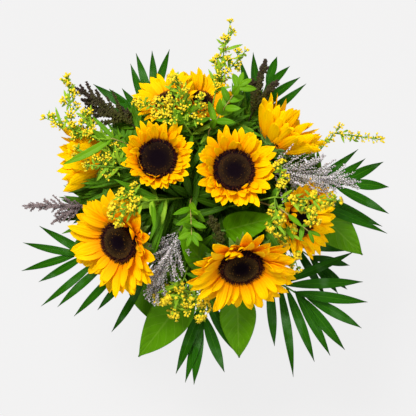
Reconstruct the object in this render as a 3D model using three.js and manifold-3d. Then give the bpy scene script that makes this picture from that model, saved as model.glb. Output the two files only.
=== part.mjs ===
import * as THREE from 'three';
import { mergeVertices } from 'three/addons/utils/BufferGeometryUtils.js';
import Module from 'manifold-3d';

// A bunch of nine sunflowers with palm fronds, broad leaves, goldenrod, statice, heather and leafy
// sprigs. It is tied in a spiral, so that it stands unheld on its cut stem ends.
// Millimetres, +Z up, origin on the standing plane under the middle of the bunch.

// ---- driving dimensions -------------------------------------------------------------------------

const TIE_HEIGHT = 190;
const TIE_BAND = 15; // height of the wrapped twine
const TWINE = 2.4; // thickness of the wrapped twine
const TURNS_OF_TWINE = 4;
const TIE_SIDES = 16;
const WAIST = 23; // radius within which the stems cross at the tie
const SPIRAL = 0.0142; // sideways step of a stem per millimetre of height and millimetre from the axis
const FREE_HEIGHT = 248; // up to here a stem is straight, above it bends to its head
const SWING = 60; // degrees that a stem turns about the axis between the tie and its head
const GAP = 0.45; // clear space between pieces of different nodes
const LEAN_ALLOWANCE = 1.08; // crossing stems need a little more room than their widths
const ROUNDS = 600; // of pressing the stems together where they are tied
const TIGHTEN = 0.997; // how far one round draws them in
const BOW_PULL = 0.38; // share of its bent part along which a stem keeps its heading

const NECK = 17; // from a bloom's neck to the back of its petals
const NECK_RADIUS = 3.4;
const PETAL_THICK = 1; // of petals, leaflets and leaves at the rib
const ROOT_LIFT = 1.2; // height of one petal layer's root
const BRACTS = 12;
const RIB_ARCH = 0.25; // how much a frond's rib arches
const LEAFLET_BEND = THREE.MathUtils.degToRad(-24);
const LEAFLET_ROOM = 0.88; // share of the room between two leaflets that they may take
const STEM_SIDES = 6;

// Blooms: middle of the back of the petals, lean of the axis from upright and the way it leans,
// radius of the disc, length of a petal, its rise from the disc's plane, how far it curls back, and
// petals in one layer.
const BLOOMS = {
  a: { at: [-56, 51, 398], lean: 6, toward: 70, disc: 24, petal: 31, rise: 56, curl: 8, petals: 12 },
  b: { at: [33, 37, 400], lean: 9, toward: 40, disc: 25.5, petal: 35, rise: 40, curl: 12, petals: 12 },
  c: { at: [-100, -46, 380], lean: 32, toward: 205, disc: 25.5, petal: 42, rise: 24, curl: 14, petals: 12 },
  d: { at: [42, -74, 380], lean: 41, toward: -80, disc: 27, petal: 42, rise: 24, curl: 14, petals: 12 },
  e: { at: [112, -18, 370], lean: 42, toward: -10, disc: 22, petal: 31, rise: 36, curl: 12, petals: 11 },
  f: { at: [85, 72, 352], lean: 72, toward: 50, disc: 22, petal: 46, rise: 50, curl: 5, petals: 12 },
  g: { at: [-124, 55, 356], lean: 74, toward: 180, disc: 20, petal: 52, rise: 64, curl: 4, petals: 11 },
  h: { at: [-44, 117, 374], lean: 40, toward: 118, disc: 14, petal: 31, rise: 28, curl: 8, petals: 11 },
  i: { at: [-6, 120, 352], lean: 40, toward: 55, disc: 13.5, petal: 31, rise: 28, curl: 8, petals: 11 },
};

// Palm fronds: foot and end of the rib, widest leaflet, height of the leaflets' tips, where the tips
// are to the left and to the right of the rib from its foot to its end, and the tip of the last one.
const PALMS = [
  {
    from: [75, -90, 316], to: [125, -120, 292], width: 13.5, tips: 266, end: [199, -160],
    left: [null, [189, -63], [201, -101], [207, -127], null],
    right: [[88, -183], [112, -222], [139, -203], [159, -195], [178, -188]],
  },
  {
    from: [100, -47, 290], to: [143, -75, 274], width: 11, tips: 248, end: [183, -112],
    left: [[190, -61], [186, -81]],
    right: [[155, -122], [171, -117]],
  },
  {
    from: [95, 3, 304], to: [176, 24, 290], width: 12.5, tips: 276, end: [233, 20],
    left: [[194, 68], [203, 56], [226, 52]],
    right: [[231, -39], [224, -30], [233, -14]],
  },
  {
    from: [58, 91, 306], to: [76, 148, 302], width: 10.5, tips: 290, end: [90, 184],
    left: [[43, 182], [60, 189], null],
    right: [[127, 150], [119, 158], [106, 172]],
  },
  {
    from: [-72, 100, 316], to: [-66, 125, 312], width: 10.5, tips: 300, end: [-67, 190],
    left: [[-94, 174], [-87, 187]],
    right: [null, [-45, 192]],
  },
  {
    from: [-66, 94, 288], to: [-92, 116, 286], width: 11, tips: 284, end: [-142, 150],
    left: [[-127, 86], [-142, 119]],
    right: [[-106, 145], [-122, 144]],
  },
  {
    from: [-69, -94, 308], to: [-158, -62, 290], width: 12.5, tips: 268, end: [-235, -87],
    left: [[-120, -165], [-138, -137], [-168, -145], [-189, -133], [-210, -132], [-213, -101]],
    right: [null, null, null, null, [-212, -30], [-233, -51]],
  },
  {
    from: [2, -109, 300], to: [-3, -151, 280], width: 14, tips: 262, end: [-15, -233],
    left: [[39, -192], [24, -217]],
    right: [[-38, -219], [-26, -230]],
  },
];

// Broad leaves: base of the blade, tip, width.
const LEAVES = [
  { from: [-22, -112, 302], to: [-84, -197, 264], width: 52 },
  { from: [40, -112, 300], to: [41, -197, 268], width: 46 },
  { from: [134, -6, 300], to: [199, -66, 272], width: 46 },
  { from: [24, -34, 352], to: [88, -14, 392], width: 36 },
  { from: [2, -78, 348], to: [-34, -34, 386], width: 32 },
  { from: [-84, -84, 288], to: [-62, -157, 260], width: 42 },
];

// Sprays: foot of the flowering part and its tip, side twigs, buds on a twig, length of a twig,
// size of a bud, and leaves below the buds with their length and width.
const SPRAYS = {
  goldenrod: {
    places: [
      { from: [-119, 70, 388], to: [-163, 145, 402] },
      { from: [8, 112, 388], to: [29, 209, 404] },
      { from: [-24, 92, 402], to: [-34, 143, 424] },
      { from: [142, 56, 322], to: [207, 76, 356] },
      { from: [80, 6, 418], to: [140, 2, 430] },
      { from: [-64, 2, 418], to: [-107, -14, 432] },
      { from: [-24, -86, 350], to: [-40, -134, 358] },
      { from: [-92, 40, 404], to: [-136, 43, 424] },
    ],
    twigs: 4, buds: 3, twig: 26, bud: 2.4, spread: 48, leaves: 4, leaf: 44, leafWidth: 10,
  },
  statice: {
    places: [
      { from: [78, 40, 366], to: [178, 27, 345] },
      { from: [-32, -34, 364], to: [-67, -116, 345] },
      { from: [-148, -14, 342], to: [-225, -3, 330] },
    ],
    twigs: 4, buds: 3, twig: 28, bud: 2.2, spread: 38, leaves: 3, leaf: 36, leafWidth: 9,
  },
  heather: {
    places: [
      { from: [-90, 94, 370], to: [-154, 136, 380] },
      { from: [58, 112, 320], to: [72, 172, 366] },
      { from: [20, -48, 372], to: [3, -4, 398] },
    ],
    twigs: 3, buds: 3, twig: 30, bud: 2.1, spread: 24, leaves: 2, leaf: 34, leafWidth: 8,
  },
  leafy_sprig: {
    places: [
      { from: [4, 84, 388], to: [40, 136, 414] },
      { from: [-18, 2, 380], to: [-16, -38, 408] },
      { from: [-108, 72, 402], to: [-158, 36, 404] },
      { from: [88, -8, 412], to: [120, -34, 416] },
    ],
    twigs: 0, buds: 0, twig: 0, bud: 0, spread: 0, leaves: 7, leaf: 24, leafWidth: 10,
  },
};

const STEM_RADIUS = {
  bloom: 4.2,
  palm: 2.1,
  leaf: 1.9,
  goldenrod: 1.7,
  statice: 1.7,
  heather: 1.6,
  leafy_sprig: 1.6,
};
const TIP_RADIUS = 0.9;

const finish = (color, roughness) => new THREE.MeshStandardMaterial({ color, roughness, metalness: 0 });
const FINISH = {
  petals: finish(0xf3b004, 0.6),
  disc: finish(0x38200f, 0.9),
  stem: finish(0x5f8230, 0.65),
  palm: finish(0x1d5a12, 0.4),
  leaf: finish(0x4d8a1c, 0.45),
  goldenrod: finish(0xcdb92c, 0.75),
  statice: finish(0xa99aa8, 0.85),
  heather: finish(0x51492a, 0.8),
  leafy_sprig: finish(0x4f8433, 0.5),
  tie: finish(0xb89f73, 0.85),
};

// ---- small helpers ------------------------------------------------------------------------------

const wasm = await Module();
wasm.setup();

const rad = THREE.MathUtils.degToRad;
const vec = (x, y, z) => new THREE.Vector3(x, y, z);
const point = ([x, y, z]) => vec(x, y, z);
const UP = vec(0, 0, 1);
const mix = THREE.MathUtils.lerp;

// a seeded draw between two values
function dice(seed) {
  let count = seed * 100;
  return (low, high) => {
    count += 1;
    const wild = Math.sin(count * 12.9898) * 43758.5453;
    return mix(low, high, wild - Math.floor(wild));
  };
}

// base + a*x + b*y + ...
function sum(base, ...terms) {
  const total = base.clone();
  terms.forEach(([direction, amount]) => total.addScaledVector(direction, amount));
  return total;
}

// right-handed directions along, over and beside something that runs along a direction
function frame(along, across) {
  const run = along.clone().normalize();
  const over = across.clone().cross(run).normalize();
  return { run, over, side: run.clone().cross(over) };
}

const beside = (angle) => vec(Math.sin(angle), -Math.cos(angle), 0);

// ---- closed skins -------------------------------------------------------------------------------

// A skin of points and triangles whose faces look outwards. A ring runs anticlockwise about the
// direction in which the skin is built.
class Skin {
  points = [];
  faces = [];

  add(place) {
    this.points.push(place.x, place.y, place.z);
    return this.points.length / 3 - 1;
  }

  face(a, b, c, turned = false) {
    this.faces.push(a, turned ? c : b, turned ? b : c);
  }

  quad(a, b, c, d, turned = false) {
    this.face(a, b, c, turned);
    this.face(a, c, d, turned);
  }

  band(low, high) {
    low.forEach((corner, k) => {
      const next = (k + 1) % low.length;
      this.quad(corner, low[next], high[next], high[k]);
    });
  }

  close(ring, tip, turned = false) {
    ring.forEach((corner, k) => this.face(corner, ring[(k + 1) % ring.length], tip, turned));
  }

  // a pointed end on four corners
  quadTip(corners, tip) {
    this.close([...corners].reverse(), tip, true);
  }

  // one face of a blade: rows of points from left to right, out to its tip
  sheet(rows, tip, turned) {
    rows.slice(1).forEach((row, r) => {
      for (let k = 0; k + 1 < row.length; k += 1) {
        this.quad(rows[r][k], rows[r][k + 1], row[k + 1], row[k], turned);
      }
    });
    const last = rows.at(-1);
    for (let k = 0; k + 1 < last.length; k += 1) {
      this.face(last[k], last[k + 1], tip, turned);
    }
  }

  solid() {
    const vertProperties = new Float32Array(this.points);
    const triVerts = new Uint32Array(this.faces);
    return new wasm.Manifold(new wasm.Mesh({ numProp: 3, vertProperties, triVerts }));
  }

  geometry() {
    const shape = new THREE.BufferGeometry();
    shape.setAttribute('position', new THREE.Float32BufferAttribute(this.points, 3));
    shape.setIndex(this.faces);
    return shape;
  }
}

// the middle line of a blade that leaves its root at a slope and bends evenly
function bladeLine(root, axes, length, bend, share) {
  const slope = bend * share * 0.5;
  const reach = length * share;
  return sum(root, [axes.run, reach * Math.cos(slope)], [axes.over, reach * Math.sin(slope)]);
}

// One row across a blade at a share of its length: two edges, the rib's top and its underside.
function bladeRow(root, axes, blade, share, halfWidth, thick) {
  const slope = blade.bend * share;
  const over = sum(vec(0, 0, 0), [axes.over, Math.cos(slope)], [axes.run, -Math.sin(slope)]);
  const middle = bladeLine(root, axes, blade.length, blade.bend, share);
  const fold = halfWidth * blade.fold;
  return {
    left: sum(middle, [axes.side, -halfWidth], [over, fold]),
    right: sum(middle, [axes.side, halfWidth], [over, fold]),
    top: sum(middle, [over, thick / 2]),
    low: sum(middle, [over, -thick / 2]),
  };
}

// A blade grown from four corners of a piece: upper left and right, lower right and left. Its rows
// are given as [share of the length, share of the width].
function growBlade(skin, foot, root, axes, shape, grow = 0) {
  const whole = { ...shape, length: shape.length + grow };
  const rows = shape.rows.map(([share, width]) => {
    const half = shape.width * width * 0.5 + grow;
    const row = bladeRow(root, axes, whole, share, half, PETAL_THICK + 2 * grow);
    return [row.top, row.right, row.low, row.left].map((place) => skin.add(place));
  });
  const [top, right, low, left] = rows[0];
  const [upperLeft, upperRight, lowerRight, lowerLeft] = foot;
  skin.face(upperLeft, upperRight, top);
  skin.face(upperLeft, top, left);
  skin.face(upperRight, right, top);
  skin.face(lowerRight, lowerLeft, low);
  skin.face(lowerRight, low, right);
  skin.face(lowerLeft, left, low);
  skin.face(upperLeft, left, lowerLeft);
  skin.face(upperRight, lowerRight, right);
  rows.slice(1).forEach((row, k) => skin.band(rows[k], row));
  skin.close(rows.at(-1), skin.add(bladeLine(root, axes, whole.length, shape.bend, 1)));
}

// A blade of its own, on a small square root.
function blade(root, axes, shape, grow = 0) {
  const skin = new Skin();
  const half = 0.5 + grow;
  const foot = [[1, -1], [1, 1], [-1, 1], [-1, -1]].map(([over, side]) => (
    skin.add(sum(root, [axes.over, over * half], [axes.side, side * half]))));
  skin.quad(...foot, true);
  growBlade(skin, foot, root, axes, shape, grow);
  return skin;
}

const LANCE = [[0.42, 1]];
const LEAFLET = [[0.3, 0.86], [0.64, 0.96]];
const OVATE = [[0.3, 0.85], [0.6, 0.9]];
const BROAD = [[0.12, 0.62], [0.32, 1], [0.58, 0.86], [0.82, 0.36]];

// A stalk along places with their radii, as rings with the same number of sides.
function rings(skin, places, radii, sides, across, turned = 0) {
  return places.map((place, k) => {
    const ahead = places[Math.min(k + 1, places.length - 1)];
    const behind = places[Math.max(k - 1, 0)];
    const axes = frame(ahead.clone().sub(behind), across);
    return Array.from({ length: sides }, (_, s) => {
      const angle = ((s + turned) / sides) * 2 * Math.PI;
      const [over, side] = [radii[k] * Math.cos(angle), radii[k] * Math.sin(angle)];
      const corner = sum(place, [axes.over, over], [axes.side, side]);
      // the cut end is level
      return skin.add(place.z === 0 ? sum(corner, [axes.run, -corner.z / axes.run.z]) : corner);
    });
  });
}

function stalk(places, radii, sides, across) {
  const skin = new Skin();
  const pointed = radii.at(-1) === 0;
  const all = rings(skin, places, radii, sides, across).slice(0, pointed ? -1 : undefined);
  skin.close(all[0], skin.add(places[0]), true);
  all.slice(1).forEach((ring, k) => skin.band(all[k], ring));
  skin.close(all.at(-1), skin.add(places.at(-1)));
  return skin;
}

// ---- clear of what is already there ------------------------------------------------------------

const placed = [];

function place(node, solid) {
  const box = solid.boundingBox();
  placed.push({ node, solid, low: point(box.min), high: point(box.max) });
}

// whether a grown trial skin runs into nothing
function isClear(skin, own) {
  const trial = skin.solid();
  const box = trial.boundingBox();
  const hit = placed.some(({ node, solid, low, high }) => {
    const apart = node.startsWith(own) || box.min[0] > high.x || box.max[0] < low.x || box.min[1] > high.y
      || box.max[1] < low.y || box.min[2] > high.z || box.max[2] < low.z;
    return !apart && !trial.intersect(solid).isEmpty();
  });
  trial.delete();
  return !hit;
}

// the first of some choices whose trial is clear, or nothing
const firstClear = (choices, trialOf, own) => choices.find((choice) => isClear(trialOf(choice), own));

// joins skins into the one body that holds together, with sealed hollows filled
function joined(skins) {
  const whole = wasm.Manifold.union(skins.map((skin) => skin.solid())).simplify(0.02);
  return whole.decompose().reduce((best, body) => (body.volume() > best.volume() ? body : best));
}

function solidGeometry(solid) {
  const mesh = solid.getMesh();
  const shape = new THREE.BufferGeometry();
  shape.setAttribute('position', new THREE.BufferAttribute(mesh.vertProperties, 3));
  shape.setIndex(new THREE.BufferAttribute(mesh.triVerts, 1));
  return mergeVertices(shape, 1e-4);
}

const bunch = new THREE.Group();

function addNode(name, material, geometry) {
  const mesh = new THREE.Mesh(geometry, material);
  mesh.name = name;
  bunch.add(mesh);
}

function addSkin(name, material, skin) {
  place(name, skin.solid());
  addNode(name, material, skin.geometry());
}

function addJoined(name, material, skins) {
  const solid = joined(skins);
  place(name, solid);
  addNode(name, material, solidGeometry(solid));
}

// ---- the spiral of stems -----------------------------------------------------------------------

// every stem of the bunch: where it has to arrive, in which direction, and its thickness
const stems = {};

function addStem(name, kind, arrive, heading) {
  const reach = Math.hypot(arrive.x, arrive.y);
  const turn = Math.atan2(arrive.y, arrive.x) - rad(SWING);
  const out = WAIST * Math.min(1, (reach / 150) ** 0.8);
  const radius = STEM_RADIUS[kind];
  const spot = new THREE.Vector2(out * Math.cos(turn), out * Math.sin(turn));
  stems[name] = { name, radius, arrive, heading: heading.clone().normalize(), spot };
}

// Where they are tied, the stems press each other aside until none runs into another.
function settleWaist() {
  const all = Object.values(stems);
  for (let round = 0; round < ROUNDS; round += 1) {
    all.forEach((one, k) => {
      all.slice(k + 1).forEach((other) => {
        const away = other.spot.clone().sub(one.spot);
        const need = (one.radius + other.radius + GAP) * LEAN_ALLOWANCE;
        const press = need - away.length();
        if (press > 0) {
          const share = one.radius / (one.radius + other.radius);
          away.normalize();
          one.spot.addScaledVector(away, -press * (1 - share));
          other.spot.addScaledVector(away, press * share);
        }
      });
      if (round < ROUNDS * 0.75) {
        one.spot.multiplyScalar(TIGHTEN);
      }
    });
  }
}

function spiralPlace(stem, height) {
  const step = SPIRAL * (height - TIE_HEIGHT);
  return vec(stem.spot.x - step * stem.spot.y, stem.spot.y + step * stem.spot.x, height);
}

// The way of a stem from its cut end to where it arrives. It may sway aside low down, high up or
// both.
function stemWay(stem, sway, steps) {
  const leave = spiralPlace(stem, FREE_HEIGHT);
  const ahead = spiralPlace(stem, FREE_HEIGHT + 1).sub(leave).normalize();
  const pull = leave.distanceTo(stem.arrive) * BOW_PULL;
  const aim = vec(sway.size * Math.cos(sway.turn), sway.size * Math.sin(sway.turn), 0);
  const first = sum(leave, [ahead, pull], [aim, sway.low]);
  const second = sum(stem.arrive, [stem.heading, -pull], [aim, sway.high]);
  const bow = new THREE.CubicBezierCurve3(leave, first, second, stem.arrive);
  return [spiralPlace(stem, 0), ...bow.getPoints(steps)];
}

// ways to sway, smallest first
const SWAYS = [{ size: 0, turn: 0, low: 0, high: 0 }];
for (let size = 8; size <= 32; size += 8) {
  for (let eighth = 0; eighth < 8; eighth += 1) {
    [[1, 1], [0, 1], [1, 0]].forEach(([low, high]) => {
      SWAYS.push({ size, turn: (eighth * Math.PI) / 4, low, high });
    });
  }
}

function taper(count, from, to) {
  return Array.from({ length: count }, (_, k) => (k < 2 ? from : mix(from, to, (k - 1) / (count - 2))));
}

// The stem's clear way, tried with a slightly thicker stalk up to its tip.
function clearWay(stem, steps, tipRadius, across, tip = null) {
  const sway = firstClear(SWAYS, (choice) => {
    const way = stemWay(stem, choice, steps);
    const whole = tip ? [...way, tip] : way;
    return stalk(whole, taper(whole.length, stem.radius + GAP, tipRadius + GAP), STEM_SIDES, across);
  }, stem.name);
  return stemWay(stem, sway, steps);
}

// ---- sunflowers --------------------------------------------------------------------------------

function bloomAxes({ lean, toward }) {
  const tilt = rad(lean);
  const turn = rad(toward);
  const axis = vec(Math.sin(tilt) * Math.cos(turn), Math.sin(tilt) * Math.sin(turn), Math.cos(tilt));
  return frame(axis, beside(turn));
}

// a place in a bloom's own frame: out from the axis at an angle, and up along the axis
function inBloom(bloom, out, angle, up) {
  const { run, over, side } = bloom.axes;
  return sum(bloom.middle, [over, out * Math.cos(angle)], [side, out * Math.sin(angle)], [run, up]);
}

function petalAxes(bloom, angle, rise) {
  const { run, over, side } = bloom.axes;
  const outward = sum(vec(0, 0, 0), [over, Math.cos(angle)], [side, Math.sin(angle)]);
  const along = sum(vec(0, 0, 0), [outward, Math.cos(rise)], [run, Math.sin(rise)]);
  return frame(along, outward.clone().cross(run));
}

// Petals in a front and a back layer, which share the ring of points between their roots.
function petals(name, bloom, seed) {
  const draw = dice(seed);
  const skin = new Skin();
  const count = bloom.petals;
  const ring = (up) => Array.from({ length: 2 * count }, (_, k) => (
    skin.add(inBloom(bloom, bloom.disc, (k * Math.PI) / count, up))));
  const levels = [ring(0), ring(ROOT_LIFT), ring(2 * ROOT_LIFT)];
  const width = (2 * Math.PI * (bloom.disc + bloom.petal * 0.4)) / count;
  [0, 1].forEach((front) => {
    for (let k = 0; k < count; k += 1) {
      const spot = 2 * k + 1 - front;
      const angle = (spot * Math.PI) / count;
      const rise = rad(bloom.rise + (front ? 4 : -12) + draw(-3, 3));
      const turn = angle + draw(-0.015, 0.015);
      const shape = {
        length: bloom.petal * draw(0.93, 1.05) * (front ? 0.94 : 1),
        width: width * (front ? 0.84 : 0.8),
        bend: -rad(bloom.curl * draw(0.4, 1.6) + (front ? 0 : 6)),
        fold: 0.18,
        rows: OVATE,
      };
      const axes = petalAxes(bloom, turn, rise);
      const root = inBloom(bloom, bloom.disc, angle, ROOT_LIFT * (0.5 + front));
      const short = firstClear([1, 0.86, 0.72, 0.58], (share) => (
        blade(root, axes, { ...shape, length: shape.length * share }, GAP)), name.slice(0, 8)) ?? 0.45;
      shape.length *= short;
      shape.width *= (1 + short) / 2;
      const shares = front ? [[0.34, 0.92], [0.7, 0.78]] : [[0.55, 1]];
      const rows = shares.map(([share, part]) => {
        const room = (bloom.disc + shape.length * share * Math.cos(rise)) * Math.tan(Math.PI / count) * 0.9;
        const half = Math.min(shape.width * part * 0.5, room);
        const row = Object.entries(bladeRow(root, axes, shape, share, half, PETAL_THICK));
        return Object.fromEntries(row.map(([spot, corner]) => [spot, skin.add(corner)]));
      });
      const around = [spot + 1, spot, spot - 1].map((corner) => (corner + 2 * count) % (2 * count));
      const [upper, lower] = [1 + front, front].map((level) => (
        around.map((corner) => levels[level][corner])));
      const tip = skin.add(bladeLine(root, axes, shape.length, shape.bend, 1));
      skin.sheet([upper, ...rows.map((row) => [row.left, row.top, row.right])], tip, false);
      skin.sheet([lower, ...rows.map((row) => [row.left, row.low, row.right])], tip, true);
      skin.face(upper[0], rows[0].left, lower[0]);
      skin.face(upper[2], lower[2], rows[0].right);
    }
  });
  skin.close(levels[0], skin.add(inBloom(bloom, 0, 0, 0)), true);
  skin.close(levels[2], skin.add(inBloom(bloom, 0, 0, 2 * ROOT_LIFT)));
  return skin;
}

// The domed disc, whose florets are a relief of knobs set in a spiral net.
function disc(bloom) {
  const skin = new Skin();
  const spokes = 14;
  const foot = 2 * ROOT_LIFT + GAP;
  const level = (out, up, shift) => Array.from({ length: spokes }, (_, k) => {
    const knob = up.knob * (k % 2 ? -1 : 1);
    return skin.add(inBloom(bloom, out, ((k + shift) * 2 * Math.PI) / spokes, foot + up.height + knob));
  });
  const radius = bloom.disc - 0.9;
  const lower = level(radius, { height: 0, knob: 0 }, 0);
  skin.close(lower, skin.add(inBloom(bloom, 0, 0, foot)), true);
  const profile = [[0.97, 2.2], [0.78, 4.8], [0.52, 5.2], [0.26, 4]];
  let ring = lower;
  profile.forEach(([out, height], k) => {
    const next = level(radius * out, { height, knob: k ? 0.7 : 0.3 }, k * 0.5);
    skin.band(ring, next);
    ring = next;
  });
  skin.close(ring, skin.add(inBloom(bloom, 0, 0, foot + 3.6)));
  return skin;
}

// The stem with its green cup and bracts behind the petals, one grown piece.
function bloomStem(bloom, way, seed) {
  const draw = dice(seed);
  const skin = new Skin();
  const radii = taper(way.length, bloom.stem.radius, NECK_RADIUS);
  const all = rings(skin, way, radii, STEM_SIDES, bloom.across);
  skin.close(all[0], skin.add(way[0]), true);
  all.slice(1).forEach((ring, k) => skin.band(all[k], ring));
  const around = (out, up) => Array.from({ length: BRACTS }, (_, k) => (
    skin.add(inBloom(bloom, out, (k * 2 * Math.PI) / BRACTS, up))));
  const neck = all.at(-1);
  const belly = around(bloom.disc * 0.66, -8);
  const rim = around(bloom.disc, -3);
  const top = around(bloom.disc, -GAP);
  neck.forEach((corner, k) => {
    const [here, half, next] = [2 * k, 2 * k + 1, (2 * k + 2) % BRACTS].map((spot) => belly[spot]);
    skin.face(corner, half, here);
    skin.face(corner, neck[(k + 1) % STEM_SIDES], half);
    skin.face(neck[(k + 1) % STEM_SIDES], next, half);
  });
  skin.band(belly, rim);
  for (let k = 0; k < BRACTS; k += 1) {
    const next = (k + 1) % BRACTS;
    const angle = ((k + 0.5) * 2 * Math.PI) / BRACTS;
    const rise = rad(bloom.rise - draw(30, 38));
    const axes = petalAxes(bloom, angle, rise);
    const root = inBloom(bloom, bloom.disc, angle, -2);
    const length = bloom.disc * draw(0.62, 0.8);
    const tip = skin.add(bladeLine(root, axes, length, 0, 1));
    skin.quadTip([top[next], top[k], rim[k], rim[next]], tip);
  }
  skin.close(top, skin.add(inBloom(bloom, 0, 0, -GAP)));
  return skin;
}

// ---- greenery ----------------------------------------------------------------------------------

const TURNS = [0, 14, -14, 28, -28, 42, -42, 60, -60];

// the first rise of a blade that is clear, or else a short one
function clearBlade(name, root, axesOf, shape, turns = TURNS) {
  const choices = [1, 0.8, 0.6].flatMap((share) => turns.map((turn) => ({ share, turn })));
  const found = firstClear(choices, ({ share, turn }) => (
    blade(root, axesOf(turn), { ...shape, length: shape.length * share }, GAP)), name);
  const { share, turn } = found ?? { share: 0.2, turn: 0 };
  return { axes: axesOf(turn), shape: { ...shape, length: shape.length * share } };
}

// a blade's axes, so that it bends down evenly to a tip, or that much steeper
function archedAxes(chord, bend, turn) {
  const level = frame(chord, beside(Math.atan2(chord.y, chord.x)));
  const rise = rad(turn) - bend / 2;
  return frame(sum(vec(0, 0, 0), [level.run, Math.cos(rise)], [level.over, Math.sin(rise)]), level.side);
}

// the clear room across a leaflet, at a share of its length, up to its neighbours
function roomAcross(leaflet, neighbours, share) {
  const onWay = ({ root, tip }) => root.clone().lerp(tip, share);
  const run = sum(leaflet.tip, [leaflet.root, -1]).normalize();
  const room = neighbours.map((other) => sum(onWay(other), [onWay(leaflet), -1]).cross(run).length());
  return Math.min(...room);
}

// A palm frond: leaflets cut to the rib on both sides, and one at its end.
function palmFrond(name, palm, way) {
  const skin = new Skin();
  const [from, to] = [point(palm.from), point(palm.to)];
  const arch = from.distanceTo(to) * RIB_ARCH;
  const count = palm.left.length;
  const ribPlace = (share) => sum(from, [sum(to, [from, -1]), share], [UP, arch * share * (1 - share)]);
  const places = [...way, ...palm.left.map((_, k) => ribPlace((k + 1) / count))];
  const radii = taper(places.length, stems[name].radius, TIP_RADIUS);
  const all = rings(skin, places, radii, 4, palm.across, 0.5);
  skin.close(all[0], skin.add(places[0]), true);
  const first = way.length - 1;
  const hands = [[], []];
  all.slice(1).forEach((ring, k) => {
    const low = all[k];
    if (k < first) {
      skin.band(low, ring);
      return;
    }
    skin.quad(low[1], low[2], ring[2], ring[1]);
    skin.quad(low[3], low[0], ring[0], ring[3]);
    const root = places[k].clone().lerp(places[k + 1], 0.5);
    const feet = [[low[3], ring[3], ring[2], low[2]], [ring[0], low[0], low[1], ring[1]]];
    [palm.left, palm.right].forEach((tips, hand) => {
      const spot = tips[k - first];
      if (spot) {
        hands[hand].push({ root, foot: feet[hand], tip: point([...spot, palm.tips]) });
      } else {
        skin.quad(...feet[hand]);
      }
    });
  });
  const foot = [3, 0, 1, 2].map((k) => all.at(-1)[k]);
  const last = { root: places.at(-1), foot, tip: point([...palm.end, palm.tips]) };
  const leaflets = [...hands[0], last, ...hands[1].reverse()];
  leaflets.forEach((leaflet, k) => {
    const neighbours = [leaflets[k - 1], leaflets[k + 1]].filter(Boolean);
    const chord = sum(leaflet.tip, [leaflet.root, -1]);
    const rows = LEAFLET.map(([share, width]) => {
      const room = roomAcross(leaflet, neighbours, share) * LEAFLET_ROOM;
      return [share, Math.min(width, room / palm.width)];
    });
    const shape = { length: chord.length(), width: palm.width, bend: LEAFLET_BEND, fold: 0.16, rows };
    const grown = clearBlade(name, leaflet.root, (turn) => archedAxes(chord, shape.bend, turn), shape);
    growBlade(skin, leaflet.foot, leaflet.root, grown.axes, grown.shape);
  });
  return skin;
}

// A broad leaf on its long stalk.
function broadLeaf(name, leaf, way) {
  const skin = new Skin();
  const [from, to] = [point(leaf.from), point(leaf.to)];
  const radii = taper(way.length, stems[name].radius, TIP_RADIUS);
  const all = rings(skin, way, radii, 4, leaf.across, 0.5);
  skin.close(all[0], skin.add(way[0]), true);
  all.slice(1).forEach((ring, k) => skin.band(all[k], ring));
  const straight = sum(to, [from, -1]);
  const length = straight.length() * 1.02;
  const shape = { length, width: leaf.width, bend: rad(-26), fold: 0.22, rows: BROAD };
  const axesOf = (turn) => {
    const level = frame(straight, leaf.across);
    const rise = rad(13 + turn);
    return frame(sum(vec(0, 0, 0), [level.run, Math.cos(rise)], [level.over, Math.sin(rise)]), leaf.across);
  };
  const grown = clearBlade(name, from, axesOf, shape, TURNS.slice(0, 5));
  const end = all.at(-1);
  growBlade(skin, [end[3], end[0], end[1], end[2]], from, grown.axes, grown.shape);
  return skin;
}

// ---- sprays ------------------------------------------------------------------------------------

// A twig as a string of buds, with its direction and length.
function budString(root, along, length, buds, bud, grow = 0) {
  const places = [root];
  const radii = [0.7 + grow];
  for (let k = 0; k < buds; k += 1) {
    const centre = length * ((k + 1) / buds) - bud;
    const size = bud * mix(1, 0.8, k / buds);
    places.push(sum(root, [along, centre - size * 0.9]), sum(root, [along, centre]));
    radii.push(0.7 + grow, size + grow);
  }
  places.push(sum(root, [along, length]));
  radii.push(0);
  return stalk(places, radii, 3, sum(along.clone().cross(UP), [beside(0.3), 0.01]));
}

// the way out from a stem at a spread and an angle about it
function aside(run, spread, angle) {
  const axes = frame(run, sum(run.clone().cross(UP), [beside(1), 0.01]));
  const out = sum(vec(0, 0, 0), [axes.over, Math.cos(angle)], [axes.side, Math.sin(angle)]);
  return sum(vec(0, 0, 0), [run, Math.cos(spread)], [out, Math.sin(spread)]);
}

const ROUND = [0, 30, -30, 60, -60, 90, -90, 130, -130, 180];

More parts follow.
